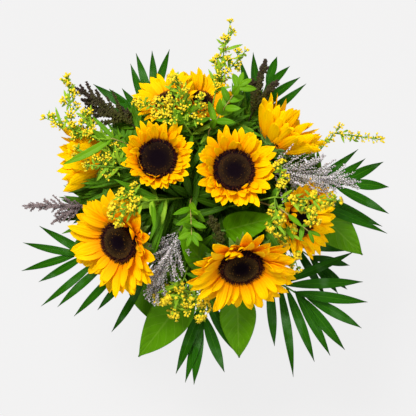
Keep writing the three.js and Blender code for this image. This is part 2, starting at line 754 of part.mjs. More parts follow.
function spraySkins(name, kind, spot, way, seed) {
  const draw = dice(seed);
  const spray = SPRAYS[kind];
  const [from, to] = [point(spot.from), point(spot.to)];
  const run = sum(to, [from, -1]);
  const length = run.length();
  run.normalize();
  const top = (share) => sum(from, [run, length * share], [UP, length * 0.2 * share * (1 - share)]);
  const places = [...way, top(0.33), top(0.66), top(1)];
  const skins = [stalk(places, taper(places.length, stems[name].radius, TIP_RADIUS), 3, spot.across)];
  const addTwig = (root, angle, size) => {
    const trial = (step, grow) => {
      const along = aside(run, rad(spray.spread), angle + rad(step));
      return budString(root, along, size, spray.buds, spray.bud, grow);
    };
    const step = firstClear(ROUND, (choice) => trial(choice, GAP), name);
    if (step !== undefined) {
      skins.push(trial(step, 0));
    }
  };
  for (let k = 0; k < spray.twigs; k += 1) {
    const share = (k + 0.3) / spray.twigs;
    addTwig(top(share), k * 2.4 + draw(-0.4, 0.4), spray.twig * mix(1.1, 0.6, share) * draw(0.85, 1.15));
  }
  if (spray.twigs) {
    skins.push(budString(top(0.93), run, length * 0.07 + 7, 2, spray.bud));
  }
  const shape = { length: spray.leaf, width: spray.leafWidth, bend: rad(-30), fold: 0.2, rows: LANCE };
  for (let k = 0; k < spray.leaves; k += 1) {
    const onTop = spray.twigs === 0;
    const share = onTop ? (k + 0.6) / spray.leaves : 0;
    const root = onTop ? top(share) : way.at(-1).clone().lerp(way.at(-3), k / spray.leaves);
    const angle = k * 2.4 + draw(-0.4, 0.4);
    const size = spray.leaf * draw(0.8, 1.15) * (onTop ? mix(1, 0.7, share) : 1);
    const choices = ROUND.flatMap((step) => [50, 30, 70].map((spread) => ({ step, spread })));
    const trial = ({ step, spread }, grow) => {
      const along = aside(run, rad(spread), angle + rad(step));
      const axes = frame(along, sum(along.clone().cross(UP), [beside(1), 0.01]));
      return blade(root, axes, { ...shape, length: size }, grow);
    };
    const found = firstClear(choices, (choice) => trial(choice, GAP), name);
    if (found) {
      skins.push(trial(found, 0));
    }
  }
  return skins;
}

// ---- the tie -----------------------------------------------------------------------------------

// Turns of twine wound round the waist, with a knot.
function tieSkins() {
  const reach = Object.values(stems).map(({ spot, radius }) => spot.length() + radius * 1.1);
  const inner = Math.max(...reach) + GAP;
  const step = TIE_BAND / TURNS_OF_TWINE;
  const outer = inner + TWINE;
  const groove = outer - TWINE * 0.45;
  const profile = [new THREE.Vector2(inner, -TIE_BAND / 2)];
  for (let k = 0; k < TURNS_OF_TWINE; k += 1) {
    const low = k * step - TIE_BAND / 2;
    profile.push(new THREE.Vector2(groove, low), new THREE.Vector2(outer, low + step / 2));
  }
  profile.push(new THREE.Vector2(groove, TIE_BAND / 2));
  profile.push(new THREE.Vector2(inner, TIE_BAND / 2), profile[0].clone());
  const band = new THREE.LatheGeometry(profile, TIE_SIDES);
  band.rotateX(Math.PI / 2);
  band.translate(0, 0, TIE_HEIGHT);
  const knot = new THREE.IcosahedronGeometry(TWINE * 2, 0);
  knot.scale(1.2, 0.8, 1);
  knot.translate(0, -outer, TIE_HEIGHT);
  return [band, knot].map((shape) => {
    const bare = shape.clone();
    bare.deleteAttribute('normal');
    bare.deleteAttribute('uv');
    const merged = mergeVertices(bare, 1e-3);
    const skin = new Skin();
    skin.points = [...merged.attributes.position.array];
    const corners = [...merged.index.array];
    for (let k = 0; k < corners.length; k += 3) {
      const [a, b, c] = corners.slice(k, k + 3);
      if (a !== b && b !== c && c !== a) {
        skin.face(a, b, c);
      }
    }
    return skin;
  });
}

// ---- the bunch ---------------------------------------------------------------------------------

Object.entries(BLOOMS).forEach(([key, bloom]) => {
  bloom.middle = point(bloom.at);
  bloom.axes = bloomAxes(bloom);
  bloom.across = beside(rad(bloom.toward));
  addStem(`bloom_${key}_stem`, 'bloom', sum(bloom.middle, [bloom.axes.run, -NECK]), bloom.axes.run);
});

PALMS.forEach((palm, k) => {
  const [from, to] = [point(palm.from), point(palm.to)];
  addStem(`palm_${k + 1}`, 'palm', from, sum(to, [from, -1]).normalize().add(vec(0, 0, 0.5)));
});

LEAVES.forEach((leaf, k) => {
  const [from, to] = [point(leaf.from), point(leaf.to)];
  addStem(`broad_leaf_${k + 1}`, 'leaf', from, sum(to, [from, -1]).normalize().add(vec(0, 0, 0.35)));
});

Object.entries(SPRAYS).forEach(([kind, spray]) => {
  spray.places.forEach(({ from, to }, k) => {
    const run = sum(point(to), [point(from), -1]).normalize();
    addStem(`${kind}_${k + 1}`, kind, point(from), run.add(vec(0, 0, 0.6)));
  });
});

settleWaist();

Object.entries(BLOOMS).forEach(([key, bloom], k) => {
  const name = `bloom_${key}_stem`;
  bloom.stem = stems[name];
  const way = clearWay(bloom.stem, 5, NECK_RADIUS, bloom.across);
  addSkin(name, FINISH.stem, bloomStem(bloom, way, k + 1));
});

Object.entries(BLOOMS).forEach(([key, bloom], k) => {
  addSkin(`bloom_${key}_disc`, FINISH.disc, disc(bloom));
  addSkin(`bloom_${key}_petals`, FINISH.petals, petals(`bloom_${key}_petals`, bloom, k + 21));
});

addJoined('tie', FINISH.tie, tieSkins());

const across = ({ from, to }) => beside(Math.atan2(to[1] - from[1], to[0] - from[0]));

PALMS.forEach((palm, k) => {
  const name = `palm_${k + 1}`;
  palm.across = across(palm);
  const way = clearWay(stems[name], 4, TIP_RADIUS, palm.across);
  addSkin(name, FINISH.palm, palmFrond(name, palm, way));
});

LEAVES.forEach((leaf, k) => {
  const name = `broad_leaf_${k + 1}`;
  leaf.across = across(leaf);
  addSkin(name, FINISH.leaf, broadLeaf(name, leaf, clearWay(stems[name], 4, TIP_RADIUS, leaf.across)));
});

Object.entries(SPRAYS).forEach(([kind, spray], group) => {
  spray.places.forEach((spot, k) => {
    const name = `${kind}_${k + 1}`;
    spot.across = across(spot);
    const way = clearWay(stems[name], 4, TIP_RADIUS, spot.across, point(spot.to));
    addJoined(name, FINISH[kind], spraySkins(name, kind, spot, way, 60 + group * 10 + k));
  });
});

// the origin is under the middle of the whole bunch
const middle = new THREE.Box3().setFromObject(bunch).getCenter(vec(0, 0, 0));
bunch.position.set(-middle.x, -middle.y, 0);

export default bunch;
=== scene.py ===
"""Looks of a tied bunch of nine sunflowers with greenery, grown round its packed solids.

Blender 4.5. Lengths are in metres. The tables hold millimetres, which MM turns into metres.
"""

import math
import random

import bmesh
import bpy
import numpy as np
from bpy.props import FloatProperty, FloatVectorProperty, IntProperty, PointerProperty
from bpy.types import Operator, Panel, PropertyGroup
from mathutils import Matrix, Vector


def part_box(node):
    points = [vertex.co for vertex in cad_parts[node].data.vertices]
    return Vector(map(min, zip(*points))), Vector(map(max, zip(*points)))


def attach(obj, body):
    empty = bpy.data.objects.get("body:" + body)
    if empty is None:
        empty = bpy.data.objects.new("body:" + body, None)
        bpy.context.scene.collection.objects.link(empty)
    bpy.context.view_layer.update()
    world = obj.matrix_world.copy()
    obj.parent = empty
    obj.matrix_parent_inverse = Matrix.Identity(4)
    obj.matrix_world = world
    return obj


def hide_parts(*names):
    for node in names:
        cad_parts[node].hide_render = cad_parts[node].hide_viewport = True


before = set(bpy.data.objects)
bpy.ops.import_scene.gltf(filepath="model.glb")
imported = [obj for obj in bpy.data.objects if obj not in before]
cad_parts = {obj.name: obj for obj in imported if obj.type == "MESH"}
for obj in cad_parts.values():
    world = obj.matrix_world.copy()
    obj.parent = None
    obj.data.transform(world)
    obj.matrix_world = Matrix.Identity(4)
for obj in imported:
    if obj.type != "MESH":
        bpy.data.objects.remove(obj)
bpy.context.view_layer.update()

bl_info = {
    "name": "Bunch of Sunflowers",
    "version": (1, 0, 0),
    "blender": (4, 5, 0),
    "location": "3D View > Sidebar > Bunch",
    "description": "Grows the petals, discs, stems and greenery of a tied bunch of sunflowers",
    "category": "Add Mesh",
}

MM = 0.001
UP = Vector((0, 0, 1))
GOLDEN_ANGLE = math.radians(137.508)

# ---- where things are ---------------------------------------------------------------------------

# The stems cross at the tie, whose band is round and has its knot towards -Y.
tie_low, tie_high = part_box("tie")
TIE_RADIUS = (tie_high.x - tie_low.x) / 2
AXIS = Vector(((tie_low.x + tie_high.x) / 2, tie_high.y - TIE_RADIUS, 0))
TIE_HEIGHT = (tie_low.z + tie_high.z) / 2
TIE_BAND = tie_high.z - tie_low.z


def spot(x, y, z):
    """A place given in millimetres from the foot of the bunch's axis."""
    return AXIS + Vector((x, y, z)) * MM


def from_0_to_1(value):
    """The value, or the end of that range that it is past."""
    return max(0.0, min(1.0, value))


# Blooms: length of a petal in millimetres, its rise from the disc's plane, how much more it rises on
# the side away from the lean and how far it curls back, in degrees. Their places and leans are read
# off their solids.
BLOOMS = {
    "a": (28, 66, 4, 4), "b": (33, 59, 2, 5), "c": (41, 31, 10, 12), "d": (41, 34, 11, 12),
    "e": (31, 42, 8, 10), "f": (44, 66, 0, 2), "g": (47, 79, 0, 2), "h": (31, 44, 6, 6), "i": (31, 44, 6, 6),
}
UPRIGHT = math.radians(62)  # petals that rise more than this show from outside
CROWDED = "cd"  # blooms whose petals stand closer together
TURNED = "fg"  # blooms whose petals are turned so that none shows only its edge
DEEP = {"c": 0.9, "d": 0.7}  # blooms whose petals are deeper in colour, and by how much
RIPE = "bcd"  # blooms whose florets are brown in a wide ring; the others are dark nearly to their rims

# Palm fronds: foot and end of the rib, widest leaflet, height of the leaflets' tips, and where the
# tips are: of the last leaflet, and of those to the left and right of the rib from its foot. None
# stands where a side has no leaflet.
PALMS = [
    ((75, -90, 316), (125, -120, 292), 12.5, 266, (199, -160),
     [None, (189, -63), (201, -101), (207, -127), None],
     [(88, -183), (112, -222), (139, -203), (159, -195), (178, -188)]),
    ((100, -47, 290), (143, -75, 274), 11, 248, (183, -112),
     [(190, -61), (186, -81)],
     [(155, -122), (171, -117)]),
    ((95, 3, 304), (176, 24, 290), 12.5, 276, (233, 20),
     [(194, 68), (203, 56), (226, 52)],
     [(231, -39), (224, -30), (233, -14)]),
    ((58, 91, 306), (76, 148, 302), 10.5, 290, (90, 184),
     [(43, 182), (60, 189), None],
     [(127, 150), (119, 158), (106, 172)]),
    ((-72, 100, 316), (-66, 125, 312), 10.5, 300, (-67, 190),
     [(-94, 174), (-87, 187)],
     [None, (-45, 192)]),
    ((-66, 94, 288), (-92, 116, 286), 11, 284, (-142, 150),
     [(-127, 86), (-142, 119)],
     [(-106, 145), (-122, 144)]),
    ((-69, -94, 308), (-158, -62, 290), 10, 268, (-235, -87),
     [(-120, -165), (-138, -137), (-168, -145), (-189, -133), (-210, -132), (-213, -101)],
     [None, None, None, None, (-212, -30), (-233, -51)]),
    ((2, -109, 300), (-3, -151, 280), 14, 262, (-15, -233),
     [(39, -192), (24, -217)],
     [(-38, -219), (-26, -230)]),
]

# Broad leaves: base of the blade, tip, width.
LEAVES = [
    ((-22, -112, 302), (-84, -197, 264), 52),
    ((40, -112, 300), (41, -197, 268), 46),
    ((134, -6, 300), (199, -66, 272), 46),
    ((24, -34, 352), (88, -14, 392), 36),
    ((2, -78, 348), (-34, -34, 386), 32),
    ((-84, -84, 288), (-62, -157, 260), 42),
]

# Sprays: foot of the flowering part, its tip, and the tips of side branches with the share of the
# way where they leave it.
SPRAYS = {
    "goldenrod": [
        ((-119, 70, 388), (-188, 99, 392), ((-160, 146, 404), 0.55), ((-142, 104, 400), 0.12)),
        ((8, 112, 388), (29, 209, 404), ((46, 176, 400), 0.3), ((14, 168, 404), 0.25)),
        ((-24, 92, 402), (-34, 143, 424), ((-74, 118, 412), 0.0), ((-6, 112, 416), 0.1),
         ((-46, 104, 414), 0.05)),
        ((142, 66, 322), (163, 91, 342), ((210, 76, 356), 0.75)),
        ((80, 6, 418), (152, 2, 430), ((88, 44, 424), 0.05), ((82, -34, 420), 0.0), ((128, -20, 426), 0.35),
         ((110, -78, 372), 0.0)),
        ((-64, 2, 418), (-107, -14, 432), ((-92, 12, 428), 0.1)),
        ((-24, -86, 350), (-40, -134, 358), ((-6, -120, 356), 0.1), ((-58, -112, 354), 0.2),
         ((-4, -136, 352), 0.3)),
        ((-92, 40, 404), (-136, 43, 424), ((-116, 64, 418), 0.1), ((-148, 62, 412), 0.3)),
    ],
    "statice": [
        ((78, 38, 378), (180, 22, 366)),
        ((-32, -34, 372), (-67, -116, 353)),
        ((-149, -4, 342), (-225, -4, 330), ((-187, -23, 334), 0.0)),
    ],
    "heather": [
        ((-88, 94, 370), (-154, 136, 380), ((-100, 113, 376), 0.0), ((-143, 113, 374), 0.1)),
        ((58, 112, 320), (72, 172, 366), ((88, 148, 350), 0.1), ((56, 150, 350), 0.2)),
        ((20, -52, 372), (7, -16, 394), ((17, -36, 392), 0.0)),
    ],
    "leafy_sprig": [
        ((4, 84, 388), (40, 136, 414)),
        ((-18, 2, 380), (-16, -38, 408)),
        ((-108, 74, 420), (-160, 34, 427)),
        ((88, -8, 412), (120, -34, 416), ((104, -66, 354), 0.0)),
    ],
}

THIN_GOLDENROD = 4  # the one whose buds stand nearly one by one
GREY_STATICE = 3  # the one that grows like heather; its darker grey paint is painted shade

# The camera looks straight down from its spot. A pixel of the photograph is so many millimetres wide at
# the level of the lower blooms, which is so far below the camera, and wider at the floor.
CAMERA_SPOT = (3.05, -6.7, 1840)
CAMERA_TO_BLOOMS = 1500
PHOTO_WIDTH = 416
PIXEL_AT_BLOOMS = 1.22
PIXEL_AT_FLOOR = PIXEL_AT_BLOOMS * CAMERA_SPOT[2] / CAMERA_TO_BLOOMS


# ---- the panel's settings -----------------------------------------------------------------------


def length_setting(name, description, default):
    return FloatProperty(name=name, description=description, default=default, min=0, unit="LENGTH")


def colour_setting(name, description, default):
    return FloatVectorProperty(
        name=name, description=description, default=default, min=0, max=1, size=3, subtype="COLOR")


class PetalSettings(PropertyGroup):
    """Sizes and colours of the petals."""

    slenderness: FloatProperty(
        name="Width", description="Width of a petal as a share of its length", default=0.315, min=0.1)
    rolled: FloatProperty(
        name="Rolled", description="Share of the petals that roll inwards", default=0.07, min=0, max=1)
    thickness: length_setting("Thickness", "Thickness of a petal", 0.45 * MM)
    groove: length_setting("Grooves", "Height of the ridges along a petal", 0.25 * MM)
    tip: colour_setting("Tip", "Colour of the outer half of a petal", (1.0, 0.575, 0.0))
    root: colour_setting("Root", "Colour of a petal at the disc", (0.86, 0.26, 0.0))


class DiscSettings(PropertyGroup):
    """Sizes and colours of the discs."""

    florets: IntProperty(name="Florets", description="Closed florets on one disc", default=620, min=20)
    fringe: IntProperty(name="Fringe", description="Open florets round one disc", default=240, min=10)
    middle: colour_setting("Middle", "Colour of the middle of the disc", (0.008, 0.0035, 0.007))
    ring: colour_setting("Ring", "Colour of the ring of closed florets", (0.105, 0.06, 0.018))
    rim: colour_setting("Rim", "Colour of the open florets at the rim", (0.07, 0.017, 0.01))


class StemSettings(PropertyGroup):
    """Sizes and colours of the sunflowers' stems and bracts."""

    bracts: IntProperty(name="Bracts", description="Bracts in one row behind the petals", default=13, min=3)
    hairs: IntProperty(name="Hairs", description="Hairs on one stem", default=260, min=0)
    green: colour_setting("Green", "Colour of stems and bracts", (0.13, 0.26, 0.035))


class GreenerySettings(PropertyGroup):
    """Sizes and colours of palm fronds and leaves."""

    thickness: length_setting("Thickness", "Thickness of a leaf", 0.5 * MM)
    palm: colour_setting("Palm", "Colour of palm leaflets", (0.016, 0.1, 0.0005))
    broad: colour_setting("Broad leaves", "Colour of the broad leaves", (0.085, 0.265, 0.001))
    lance: colour_setting("Lance leaves", "Colour of the slender leaves", (0.075, 0.22, 0.003))
    young: colour_setting("Young leaves", "Colour of small leaves among the buds", (0.22, 0.42, 0.02))


class SpraySettings(PropertyGroup):
    """Colours of the sprays."""

    bud: colour_setting("Goldenrod", "Colour of goldenrod buds", (0.9, 0.67, 0.02))
    twig: colour_setting("Twigs", "Colour of goldenrod twigs", (0.2, 0.38, 0.02))
    lilac: colour_setting("Statice", "Colour of statice florets", (0.8, 0.73, 0.77))
    dusk: colour_setting("Heather", "Colour of heather buds", (0.05, 0.03, 0.027))
    olive: colour_setting("Young heather", "Colour of heather low down", (0.085, 0.1, 0.008))
    # painted shade: a darker, greyer copy of the statice's colour, for the sprays on the left
    shaded_statice: colour_setting("Shaded statice", "Colour of the grey sprays on the left", (0.28, 0.22, 0.22))


class TieSettings(PropertyGroup):
    """The twine round the stems."""

    turns: IntProperty(name="Turns", description="Turns of twine round the stems", default=6, min=1)
    straw: colour_setting("Straw", "Colour of the twine", (0.48, 0.34, 0.16))


class StageSettings(PropertyGroup):
    """Floor, light and camera."""

    floor: colour_setting("Floor", "Colour of the floor", (0.9, 0.895, 0.895))
    glow: FloatProperty(name="Glow", description="Strength of the floor's own glow", default=0.9, min=0)
    dull: FloatProperty(
        name="Dullness", description="Share of light that the floor gives back", default=0.08, min=0)
    key: FloatProperty(
        name="Key light", description="Power of the main soft light", default=54, min=0, unit="POWER")
    sky: FloatProperty(name="Sky", description="Strength of the even light", default=0.31, min=0)


SETTINGS = {
    "bunch_petals": PetalSettings,
    "bunch_discs": DiscSettings,
    "bunch_stems": StemSettings,
    "bunch_greenery": GreenerySettings,
    "bunch_sprays": SpraySettings,
    "bunch_tie": TieSettings,
    "bunch_stage": StageSettings,
}


# ---- paint --------------------------------------------------------------------------------------


class Value:
    """A number that changes over a surface. An expression on values adds its Math nodes."""

    def __init__(self, paint, socket):
        self.paint = paint
        self.socket = socket

    def _math(self, operation, first, second=0.0):
        return self.paint.node("ShaderNodeMath", {"operation": operation}, {0: first, 1: second})

    def __add__(self, other):
        return self._math("ADD", self, other)

    def __sub__(self, other):
        return self._math("SUBTRACT", self, other)

    def __rsub__(self, other):
        return self._math("SUBTRACT", other, self)

    def __mul__(self, other):
        return self._math("MULTIPLY", self, other)

    def __abs__(self):
        return self._math("ABSOLUTE", self)

    def wave(self):
        return self._math("SINE", self)

    def fraction(self):
        return self._math("FRACT", self)

    def above(self, other):
        """1 where it is greater, else 0."""
        return self._math("GREATER_THAN", self, other)

    def or_more(self, other):
        """The greater of the two."""
        return self._math("MAXIMUM", self, other)


class Paint:
    """A material with one Principled shader."""

    def __init__(self, name, **constants):
        self.material = bpy.data.materials.new(name)
        self.material.use_nodes = True
        self.tree = self.material.node_tree
        self.shader = self.tree.nodes["Principled BSDF"]
        for socket, value in constants.items():
            self.shader.inputs[socket.replace("_", " ")].default_value = value

    def node(self, kind, settings, links, out=0):
        """Adds a node: its settings, or a ramp's stops, first, then its sockets' values or links."""
        node = self.tree.nodes.new(kind)
        for key, value in settings.items():
            if key == "stops":
                while len(node.color_ramp.elements) < len(value):
                    node.color_ramp.elements.new(0.5)
                for element, (place, colour) in zip(node.color_ramp.elements, value):
                    element.position = place
                    element.color = rgba(colour)
            else:
                setattr(node, key, value)
        for socket, value in links.items():
            self.plug(value, node.inputs[socket])
        return Value(self, node.outputs[out])

    def plug(self, value, socket):
        if isinstance(value, Value):
            self.tree.links.new(value.socket, socket)
        else:
            socket.default_value = value

    def reads(self, name):
        """One of the numbers that a grown mesh carries: along, across or tone."""
        return self.node("ShaderNodeAttribute", {"attribute_name": name}, {}, "Fac")

    def noise(self, size, detail=2.0, stretch=(1, 1, 1)):
        """Cloudy noise whose spots are about this size, in metres."""
        place = self.node("ShaderNodeTexCoord", {}, {}, "Object")
        scale = [share / size for share in stretch]
        mapped = self.node("ShaderNodeMapping", {}, {"Vector": place, "Scale": scale})
        return self.node("ShaderNodeTexNoise", {}, {"Vector": mapped, "Scale": 1.0, "Detail": detail}, "Fac")

    def ramp(self, value, stops):
        return self.node("ShaderNodeValToRGB", {"stops": stops}, {"Fac": value}, "Color")

    def mix(self, share, first, second):
        first, second = (c if isinstance(c, Value) else rgba(c) for c in (first, second))
        settings = {"data_type": "RGBA", "clamp_factor": True}
        return self.node("ShaderNodeMix", settings, {0: share, 6: first, 7: second}, 2)

    def finish(self, colour, roughness, relief=None, depth=0.0):
        """Ends the material with its colour, roughness and a relief of a depth in metres."""
        self.plug(colour, self.shader.inputs["Base Color"])
        self.plug(roughness, self.shader.inputs["Roughness"])
        if relief is not None:
            bump = self.node("ShaderNodeBump", {}, {"Height": relief, "Distance": depth, "Strength": 1.0})
            self.plug(bump, self.shader.inputs["Normal"])
        return self.material


def rgba(colour):
    return (*colour[:3], 1.0)


def toned(colour, times):
    return tuple(min(1.0, channel * times) for channel in colour)


def petal_paint(settings):
    # The small emission is painted glow, which keeps the petals' shaded parts bright.
    paint = Paint("petal", Specular_IOR_Level=0.03, Emission_Strength=0.06)
    along, across, tone = (paint.reads(name) for name in ("along", "across", "tone"))
    middle = tuple(0.45 * r + 0.55 * t for r, t in zip(settings.root, settings.tip))
    colour = paint.ramp(along + (tone - 0.5) * 0.16, [
        (0.0, toned(settings.root, 0.75)), (0.1, settings.root), (0.34, middle), (0.62, settings.tip),
        (1.0, toned(settings.tip, 1.04))])
    grooves = (across * 13.0 + paint.noise(4 * MM) * 2.5).wave() * 0.5 + 0.5
    colour = paint.mix(grooves * 0.2 * (1 - along * 0.6), colour, toned(settings.root, 0.95))
    colour = paint.mix((tone - 0.6) * 0.5, colour, (1.0, 0.63, 0.0))
    colour = paint.mix(tone * -0.55, colour, (settings.tip[0] * 0.92, settings.tip[1] * 0.7, 0.0))
    paint.plug(colour, paint.shader.inputs["Emission Color"])  # painted glow: the petals give off a little light of their own in their colour, which lifts their shaded parts in place of the light that a thin petal lets through
    return paint.finish(colour, 0.58, grooves, 0.25 * MM)


def disc_paint(settings):
    """On a disc, along goes from its middle to its rim, and a tone of 1 is a floret with pollen."""
    paint = Paint("disc", Specular_IOR_Level=0.04)
    along, tone = paint.reads("along"), paint.reads("tone")
    colour = paint.ramp(along + (tone - 0.5) * 0.1, [
        (0.0, toned(settings.middle, 0.6)), (0.28, settings.middle), (0.5, toned(settings.ring, 0.4)),
        (0.7, settings.ring), (0.84, settings.rim), (1.0, toned(settings.rim, 0.7))])
    pollen = tone.above(0.9) * along.above(0.36) * 0.7
    colour = paint.mix(pollen, colour, (0.2, 0.095, 0.012))
    return paint.finish(colour, 0.9, paint.noise(0.5 * MM), 0.2 * MM)


def stem_paint(settings):
    paint = Paint("sunflower_stem", Specular_IOR_Level=0.3)
    tone = paint.reads("tone")
    patches = paint.noise(7 * MM, 3.0, (1, 1, 0.3))
    colour = paint.mix(patches, toned(settings.green, 0.7), toned(settings.green, 1.35))
    colour = paint.mix(tone * 0.5, colour, (0.2, 0.36, 0.05))
    fibres = paint.noise(0.7 * MM, 2.0, (1, 1, 0.08))
    return paint.finish(colour, 0.6, fibres, 0.3 * MM)


def vein_paint(name, colour, side_veins, slant, gloss, pale, depth):
    """A leaf with a pale midrib and side veins that leave it at a slant and are so deep."""
    paint = Paint(name, Specular_IOR_Level=0.08)
    along, across, tone = (paint.reads(word) for word in ("along", "across", "tone"))
    side = abs(across)
    quilt = abs((along * side_veins - side * slant).fraction() - 0.5)
    veins = (1 - side * 14.0).or_more((quilt * 2.0 - 0.91) * (9.0 * depth))
    patches = paint.noise(11 * MM, 3.0)
    mixed = paint.mix(patches * 0.8, toned(colour, 0.72), toned(colour, 1.25))
    mixed = paint.mix(tone * 0.55, mixed, (colour[0] * 1.9, colour[1] * 1.35, colour[2]))
    # A tone below 0 darkens the leaf: painted shade, which the leaves deep down the stalks get.
    mixed = paint.mix(tone * -0.6, mixed, toned(colour, 0.3))
    mixed = paint.mix(veins * pale, mixed, (0.26, 0.46, 0.05))
    return paint.finish(mixed, gloss, quilt * (-1.6 * depth) + patches * 0.4, 0.7 * MM)


def palm_paint(settings):
    paint = Paint("palm_leaflet", Specular_IOR_Level=0.08)
    along, across, tone = (paint.reads(name) for name in ("along", "across", "tone"))
    stripes = (across * 26.0 + paint.noise(9 * MM)).wave() * 0.5 + 0.5
    colour = paint.mix(stripes * 0.35, settings.palm, toned(settings.palm, 0.6))
    colour = paint.mix(tone * 0.5, colour, (0.03, 0.17, 0.004))
    colour = paint.mix((1 - abs(across) * 14.0) * 0.6, colour, (0.07, 0.26, 0.005))
    # painted sheen: pale streaks along the stripes, in place of the highlights of the leaflets' gloss
    painted_sheen = (paint.noise(26 * MM, 1.0) - 0.54) * 3.0 * stripes
    colour = paint.mix(painted_sheen, colour, (0.16, 0.33, 0.12))
    colour = paint.mix((along - 0.95) * 6.0, colour, (0.12, 0.12, 0.02))
    return paint.finish(colour, 0.32, stripes, 0.3 * MM)


def twig_paint(name, young, old):
    """A twig that changes from its foot to its tip."""
    paint = Paint(name, Specular_IOR_Level=0.3)
    along = paint.reads("along")
    patches = paint.noise(3 * MM, 3.0)
    colour = paint.mix(along * 0.8 + patches * 0.2, old, young)
    return paint.finish(colour, 0.6, patches, 0.3 * MM)


def bud_paint(name, foot, tip, gloss=0.6, ripe=0.36):
    """A bud or floret that changes from its foot to its tip, and has the tip's colour once ripe."""
    paint = Paint(name, Specular_IOR_Level=0.15)
    along, tone = paint.reads("along"), paint.reads("tone")
    colour = paint.ramp(along, [(0.0, foot), (ripe, tip), (1.0, toned(tip, 1.12))])
    colour = paint.mix(tone * 0.3, colour, toned(tip, 0.72))
    return paint.finish(colour, gloss, paint.noise(0.4 * MM), 0.15 * MM)


def twine_paint(settings):
    paint = Paint("twine", Specular_IOR_Level=0.15)
    fibres = paint.noise(0.35 * MM, 3.0)
    patches = paint.noise(5 * MM)
    colour = paint.mix(fibres, toned(settings.straw, 0.55), toned(settings.straw, 1.3))
    colour = paint.mix(patches * 0.5, colour, toned(settings.straw, 0.8))
    return paint.finish(colour, 0.9, fibres, 0.5 * MM)


def floor_paint(settings):
    """A pale floor with a glow of its own, so that the shadows on it stay faint."""
    paint = Paint("floor", Specular_IOR_Level=0.0, Emission_Color=rgba(settings.floor),
                  Emission_Strength=settings.glow)
    pale, darker = (toned(settings.floor, settings.dull * times) for times in (1.0, 0.97))
    return paint.finish(paint.mix(paint.noise(0.4, 1.0) * 0.1, pale, darker), 0.9)


# ---- basic parts --------------------------------------------------------------------------------

parts = {}


def made_once(make):
    """Has a basic part made only the first time that it is asked for with the same numbers."""
    def part(*numbers):
        key = (make.__name__, *numbers)
        if key not in parts:
            parts[key] = make(*numbers)
        return parts[key]

    return part


def new_mesh():
    """An empty mesh whose points carry how far along and across a part they are, and its tone."""
    bm = bmesh.new()
    for name in ("along", "across", "tone"):
        bm.verts.layers.float.new(name)
    return bm


def part_from(bm, along, across):
    """A basic part for copying, with along and across worked out from each of its points."""
    layers = bm.verts.layers.float
    for vert in bm.verts:
        vert[layers["along"]] = along(vert.co)
        vert[layers["across"]] = across(vert.co)
    mesh = bpy.data.meshes.new("part")
    bm.to_mesh(mesh)
    bm.free()
    return mesh


@made_once
def sheet_part(across, along):
    """A flat sheet from -1 to 1 across and along."""
    bm = new_mesh()
    bmesh.ops.create_grid(bm, x_segments=across, y_segments=along, size=1)
    return part_from(bm, lambda co: (co.y + 1) / 2, lambda co: co.x)


@made_once
def tube_part(sides, rings):
    """A closed round bar of radius 1 and length 1 with rings of points along it."""
    bm = new_mesh()
    bmesh.ops.create_cone(bm, cap_ends=True, segments=sides, radius1=1, radius2=1, depth=1)
    upright = [e for e in bm.edges if abs(e.verts[0].co.z - e.verts[1].co.z) > 0.5]
    if rings > 2:
        bmesh.ops.subdivide_edges(bm, edges=upright, cuts=rings - 2, use_grid_fill=True)
    bmesh.ops.translate(bm, vec=(0, 0, 0.5), verts=bm.verts)
    return part_from(bm, lambda co: co.z, lambda co: math.atan2(co.y, co.x) / math.pi)


@made_once
def bud_part():
    """A round bud of radius 1 about the origin."""
    bm = new_mesh()
    bmesh.ops.create_icosphere(bm, subdivisions=1, radius=1)
    return part_from(bm, lambda co: (co.z + 1) / 2, lambda co: co.x)


@made_once
def floret_part(lobes):
    """A small open flower: a cup whose rim is drawn out into lobes, opening upwards."""
    bm = new_mesh()
    bmesh.ops.create_cone(bm, cap_ends=True, segments=2 * lobes, radius1=0.22, radius2=1, depth=0.8)
    bmesh.ops.translate(bm, vec=(0, 0, 0.4), verts=bm.verts)
    rim = sorted((v for v in bm.verts if v.co.z > 0.7), key=lambda v: math.atan2(v.co.y, v.co.x))
    for dip in rim[::2]:
        dip.co = Vector((dip.co.x * 0.5, dip.co.y * 0.5, 0.62))
    top = [f for f in bm.faces if len(f.verts) == 2 * lobes and f.calc_center_median().z > 0.5]
    bmesh.ops.poke(bm, faces=top, offset=-0.28)
    return part_from(bm, lambda co: from_0_to_1(co.z), lambda co: co.x)


@made_once
def spike_part():
    """A pointed spike of radius 1 at its foot and length 1."""
    bm = new_mesh()
    bmesh.ops.create_cone(bm, cap_ends=True, segments=5, radius1=1, radius2=0.25, depth=1)
    bmesh.ops.translate(bm, vec=(0, 0, 0.5), verts=bm.verts)
    return part_from(bm, lambda co: co.z, lambda co: co.x)


class Axes:
    """Right-handed directions: run along something, over it and to its side."""

    def __init__(self, run, beside):
        self.run = run.normalized()
        self.over = beside.cross(self.run).normalized()
        self.side = self.run.cross(self.over)

    def turned(self, angle):
        """The direction at an angle about the run, from over towards side."""
        return self.over * math.cos(angle) + self.side * math.sin(angle)

    def matrix(self, place, width, length):
        """Takes a basic part to a place, with its own z along the run."""
        turn = Matrix((self.side, -self.over, self.run)).transposed().to_4x4()
        return Matrix.Translation(place) @ turn @ Matrix.Diagonal((width, width, length, 1))


def axes_about(run):
    """Directions about a run that has no side of its own."""
    beside = run.cross(UP)
    if beside.length < 0.05:  # the run is nearly upright or very short
        beside = Vector((1, 0, 0))
    return Axes(run, beside)


def rolled_axes(axes, angle):
    """The directions after a turn about the run."""
    return Axes(axes.run, axes.side * math.cos(angle) + axes.over * math.sin(angle))


def leaning(axes, spread, angle):
    """The direction that leaves a run at a spread and an angle about it."""
    return axes.run * math.cos(spread) + axes.turned(angle) * math.sin(spread)


